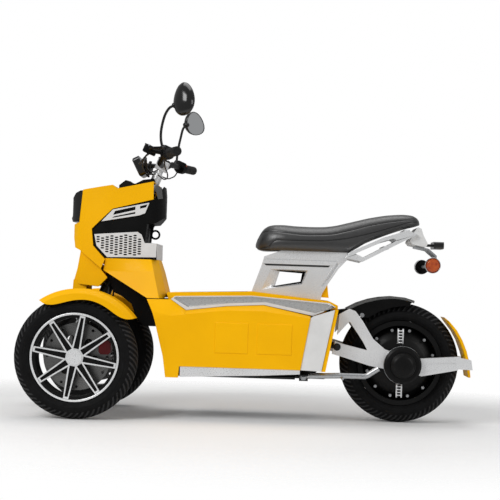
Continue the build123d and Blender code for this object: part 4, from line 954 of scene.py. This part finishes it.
def more_cables():
    """Four runs of cable from the controls to the column, and three thicker loops behind the instrument
    pod."""
    runs = [
        [(-395, -238, 1010), (-424, -190, 994), (-436, -120, 966), (-430, -60, 950), (-414, -24, 952)],
        [(-395, 238, 1010), (-426, 190, 1004), (-440, 110, 980), (-432, 50, 958), (-414, 24, 956)],
        [(-338, -250, 992), (-342, -200, 965), (-338, -140, 944), (-344, -96, 930), (-362, -60, 930),
         (-386, -28, 948)],
        [(-338, 250, 992), (-344, 200, 968), (-350, 140, 955), (-360, 80, 945), (-386, 28, 950)],
    ]
    for index, run in enumerate(runs):
        tube(f"wiring_{index}", curve(run), CABLE_R, "hose_rubber", "steering_gear", 8)
    for index, (low, wide, back) in enumerate(((944, 62, -424), (954, 50, -412), (966, 70, -430))):
        loop = [(back - 2, -wide, low + 44), (back - 10, -wide * 0.6, low + 12), (back - 4, 0, low),
                (back - 10, wide * 0.6, low + 12), (back - 2, wide, low + 44)]
        tube(f"loom_{index}", curve(loop), LOOM_R, "hose_rubber", "steering_gear", 10)


more_cables()


def neck_apron():
    """The yellow tongue that closes the neck's foot in front of the cradle: two cheeks, joined in front."""
    side = [(-701, 524), (-704, 470), (-692, 452), (-664, 446), (-652, 462), (-648, 524)]
    layers = (-65.5, -61.5, 61.5, 65.5)
    points = []
    for x, z in side:
        points += [Vector((x, y, z)) * MM for y in layers]
    count = len(side)
    faces = []
    for left in (0, 2):
        right = left + 1
        near = [i * 4 + left for i in range(count)]
        far = [i * 4 + right for i in range(count)]
        faces += [tuple(near), tuple(reversed(far))]
        for i in range(count):
            j = (i + 1) % count
            faces.append((i * 4 + left, i * 4 + right, j * 4 + right, j * 4 + left))
    for i in range(2):
        faces.append((i * 4, i * 4 + 3, i * 4 + 7, i * 4 + 4))
    piece("neck_apron", points, faces, "yellow_body_paint", "chassis", smooth=False)


neck_apron()


def headlamp_inside():
    """Behind the lens: two bright bowls with their domes, and the daylight strip."""
    bowl = [(0.0006, 0.0), (0.0006, 0.012), (0.004, 0.018), (0.009, 0.0225), (0.009, 0.0245),
            (0.0002, 0.0245)]
    dome = [(0.001, 0.0115), (0.005, 0.0105), (0.008, 0.007), (0.0095, 0.0)]
    ahead = (-1, 0, 0)
    for side, word in ((-1, "left"), (1, "right")):
        centre = (-0.7045, side * 0.026, 0.818)
        lathe(f"lamp_bowl_{word}", bowl, centre, ahead, "bright_steel", "chassis", 40)
        lathe(f"lamp_dome_{word}", dome, centre, ahead, "lamp_glass", "chassis", 32)
    level = Matrix.Identity(3)
    block("daylight_strip", (-708, 0, 779), (6, 92, 9), level, "silver_paint", "chassis", edge=2.5)


headlamp_inside()


# The guard's upper edge: degrees up from straight back, and millimetres over the tyre.
HUGGER_CROWN = [(136, 65), (127, 54), (117, 43), (108, 35), (98, 29), (88, 23), (79, 16)]


def hugger_painted_highlight(side, word):
    """A grey metal strip along the upper edge of the guard over the rear wheel: a painted highlight of that
    edge.
    """
    section = [(-1.0, 75.6), (-3.0, 77.2), (-8.5, 77.4), (-10.5, 75.8)]
    steps = 30
    points = []
    for k in range(steps + 1):
        place = k / steps * (len(HUGGER_CROWN) - 1)
        i = min(int(place), len(HUGGER_CROWN) - 2)
        (a0, h0), (a1, h1) = HUGGER_CROWN[i], HUGGER_CROWN[i + 1]
        share = place - i
        turn = math.radians(a0 + (a1 - a0) * share)
        reach = REAR_R + (h0 + (h1 - h0) * share) * MM
        for depth, across in section:
            r = reach + depth * MM
            x, z = REAR_AXLE.x + r * math.cos(turn), REAR_AXLE.z + r * math.sin(turn)
            points.append((x, side * across * MM, z))
    faces = grid_faces(steps + 1, len(section), close_columns=True)
    faces += [(3, 2, 1, 0), tuple(len(points) - 4 + k for k in range(4))]
    piece(f"hugger_painted_highlight_{word}", points, faces, "disc_steel", "chassis", smooth=False)


# The painted highlight along the guard's upper edge, on both sides.
both(hugger_painted_highlight)


def side_details(side, word):
    """On each side: the bolts of the guard and of the swing arm's pivot, a dark strip painted as the shadow
    under the leg's cap, two ridges in a darker grey painted as shade lines on the cap, and the bright rim of
    the indicator."""
    guard = Vector((436, side * 76.2, 421)) * MM
    hex_bolt(f"hugger_bolt_{word}", guard, (0, side, 0), 12, "bright_steel", "chassis")
    pivot = Vector((339, side * 129.5, 296)) * MM
    hex_bolt(f"pivot_bolt_{word}", pivot, (0, side, 0), 20, "black_frame_paint", "chassis")
    # A dark strip under the leg's cap: painted shadow.
    line = [(44, 612), (306, 612), (297, 604), (53, 604)]
    points = [Vector((x, y, z)) * MM for y in (side * 76.9, side * 78.6) for x, z in line]
    faces = [(0, 1, 2, 3), (7, 6, 5, 4), (0, 4, 5, 1), (1, 5, 6, 2), (2, 6, 7, 3), (3, 7, 4, 0)]
    piece(f"leg_painted_shadow_{word}", points, faces, "hose_rubber", "chassis", smooth=False)
    # Two thin ridges in a grey darker than the leg: painted shade lines on the cap.
    for row, z in enumerate((635, 649)):
        path = [Vector((x, side * 77.0, z)) * MM for x in (62 + row * 14, 200, 338 + row * 6)]
        tube(f"leg_ridge_{word}_{row}", path, 0.0017, "disc_steel", "chassis", 8)
    rim = [(0, 0.0283), (0, 0.0303), (0.0045, 0.0303), (0.0058, 0.0293), (0.0045, 0.0283)]
    x, y, z = INDICATOR_FACE
    lathe(f"indicator_rim_{word}", rim, (x, side * y, z), (0, side, 0), "bright_steel", "chassis", 48)


def leg_fin():
    """The fin behind the leg: a cheek on each side, joined across."""
    fin = [(268, 486), (291, 535), (296, 535), (303, 484)]
    points = [Vector((x, y, z)) * MM for y in (-72, -60, 60, 72) for x, z in fin]
    faces = [(0, 1, 2, 3), (15, 14, 13, 12)]
    for row in range(3):
        for k in range(4):
            a, b = row * 4 + k, row * 4 + (k + 1) % 4
            faces.append((a, a + 4, b + 4, b))
    piece("leg_fin", points, faces, "yellow_body_paint", "chassis", smooth=False)


both(side_details)
leg_fin()


# Stage: a pale floor that fades into a white surround, soft lights, and the photograph's viewpoint.

def stage_floor():
    """A pale floor under the object, which fades out before its edge."""
    made, tree, shader, place = start("pale_studio_floor", Roughness=0.6, Specular_IOR_Level=0.2)
    shader.inputs["Base Color"].default_value = linear("#F4F4F4")
    flat = add(tree, "ShaderNodeMapping", {"Vector": place}, {"Scale": (0.42, 0.62, 0)})
    reach = add(tree, "ShaderNodeTexGradient", {"Vector": flat.outputs["Vector"]}, gradient_type="SPHERICAL")
    fade = add(tree, "ShaderNodeMapRange", {"Value": reach.outputs["Fac"]},
               {"From Min": 0.0, "From Max": 0.45})
    clear = add(tree, "ShaderNodeBsdfTransparent")
    shares = {0: fade.outputs["Result"], 1: clear.outputs["BSDF"], 2: shader.outputs["BSDF"]}
    mix = add(tree, "ShaderNodeMixShader", shares)
    tree.links.new(mix.outputs["Shader"], tree.nodes["Material Output"].inputs["Surface"])
    mesh = bpy.data.meshes.new("studio_floor")
    half = 4.0
    corners = [(-half, -half, 0), (half, -half, 0), (half, half, 0), (-half, half, 0)]
    mesh.from_pydata(corners, [], [(0, 1, 2, 3)])
    floor = bpy.data.objects.new("studio_floor", mesh)
    floor.data.materials.append(made)
    bpy.context.scene.collection.objects.link(floor)


def surround():
    """A world that is white to the eye and through glass, and dimmer as a light and in reflections."""
    world = bpy.data.worlds.new("white_surround")
    bpy.context.scene.world = world
    world.use_nodes = True
    tree = world.node_tree
    tree.nodes.clear()
    ray = add(tree, "ShaderNodeLightPath").outputs
    seen = add(tree, "ShaderNodeMath", {0: ray["Is Camera Ray"], 1: ray["Is Transmission Ray"]},
               operation="ADD", use_clamp=True)
    strength = add(tree, "ShaderNodeMapRange", {"Value": seen.outputs["Value"]},
                   {"To Min": 0.4, "To Max": 1.0})
    light = add(tree, "ShaderNodeBackground", {"Strength": strength.outputs["Result"]},
                {"Color": (1, 1, 1, 1)})
    out = add(tree, "ShaderNodeOutputWorld")
    tree.links.new(light.outputs["Background"], out.inputs["Surface"])


def soft_box(name, place, target, size, watts):
    """A large square lamp turned to a target."""
    lamp = bpy.data.lights.new(name, "AREA")
    lamp.size = size
    lamp.energy = watts
    thing = bpy.data.objects.new(name, lamp)
    thing.location = place
    thing.rotation_euler = (Vector(target) - Vector(place)).to_track_quat("-Z", "Y").to_euler()
    bpy.context.scene.collection.objects.link(thing)


def viewpoint():
    """The camera of the photograph: level, to the object's left, and rolled a little."""
    distance = 4.5
    place = Vector((0.138, -distance, 0.5256))
    roll = 0.033
    focal_px = 1128.7
    image_px = 500
    axis_px = (287, 286)
    camera = bpy.data.cameras.new("viewpoint")
    camera.sensor_width = 36.0
    camera.lens = focal_px / image_px * camera.sensor_width
    camera.shift_x = -(axis_px[0] - image_px / 2) / image_px
    camera.shift_y = (axis_px[1] - image_px / 2) / image_px
    thing = bpy.data.objects.new("viewpoint", camera)
    right = Vector((math.cos(roll), 0, math.sin(roll)))
    up = Vector((-math.sin(roll), 0, math.cos(roll)))
    back = Vector((0, -1, 0))
    turn = Matrix((right, up, back)).transposed().to_4x4()
    thing.matrix_world = Matrix.Translation(place) @ turn
    bpy.context.scene.collection.objects.link(thing)
    bpy.context.scene.camera = thing


stage_floor()
surround()
soft_box("key", place=(-2.7, -3.1, 3.2), target=(-0.1, 0, 0.5), size=2.2, watts=122)
soft_box("fill", place=(3.2, -2.6, 1.8), target=(0, 0, 0.5), size=2.0, watts=36)
soft_box("top", place=(0.2, 0.6, 4.2), target=(0, 0, 0.3), size=2.6, watts=50)
viewpoint()
bpy.context.scene.view_settings.view_transform = "Standard"
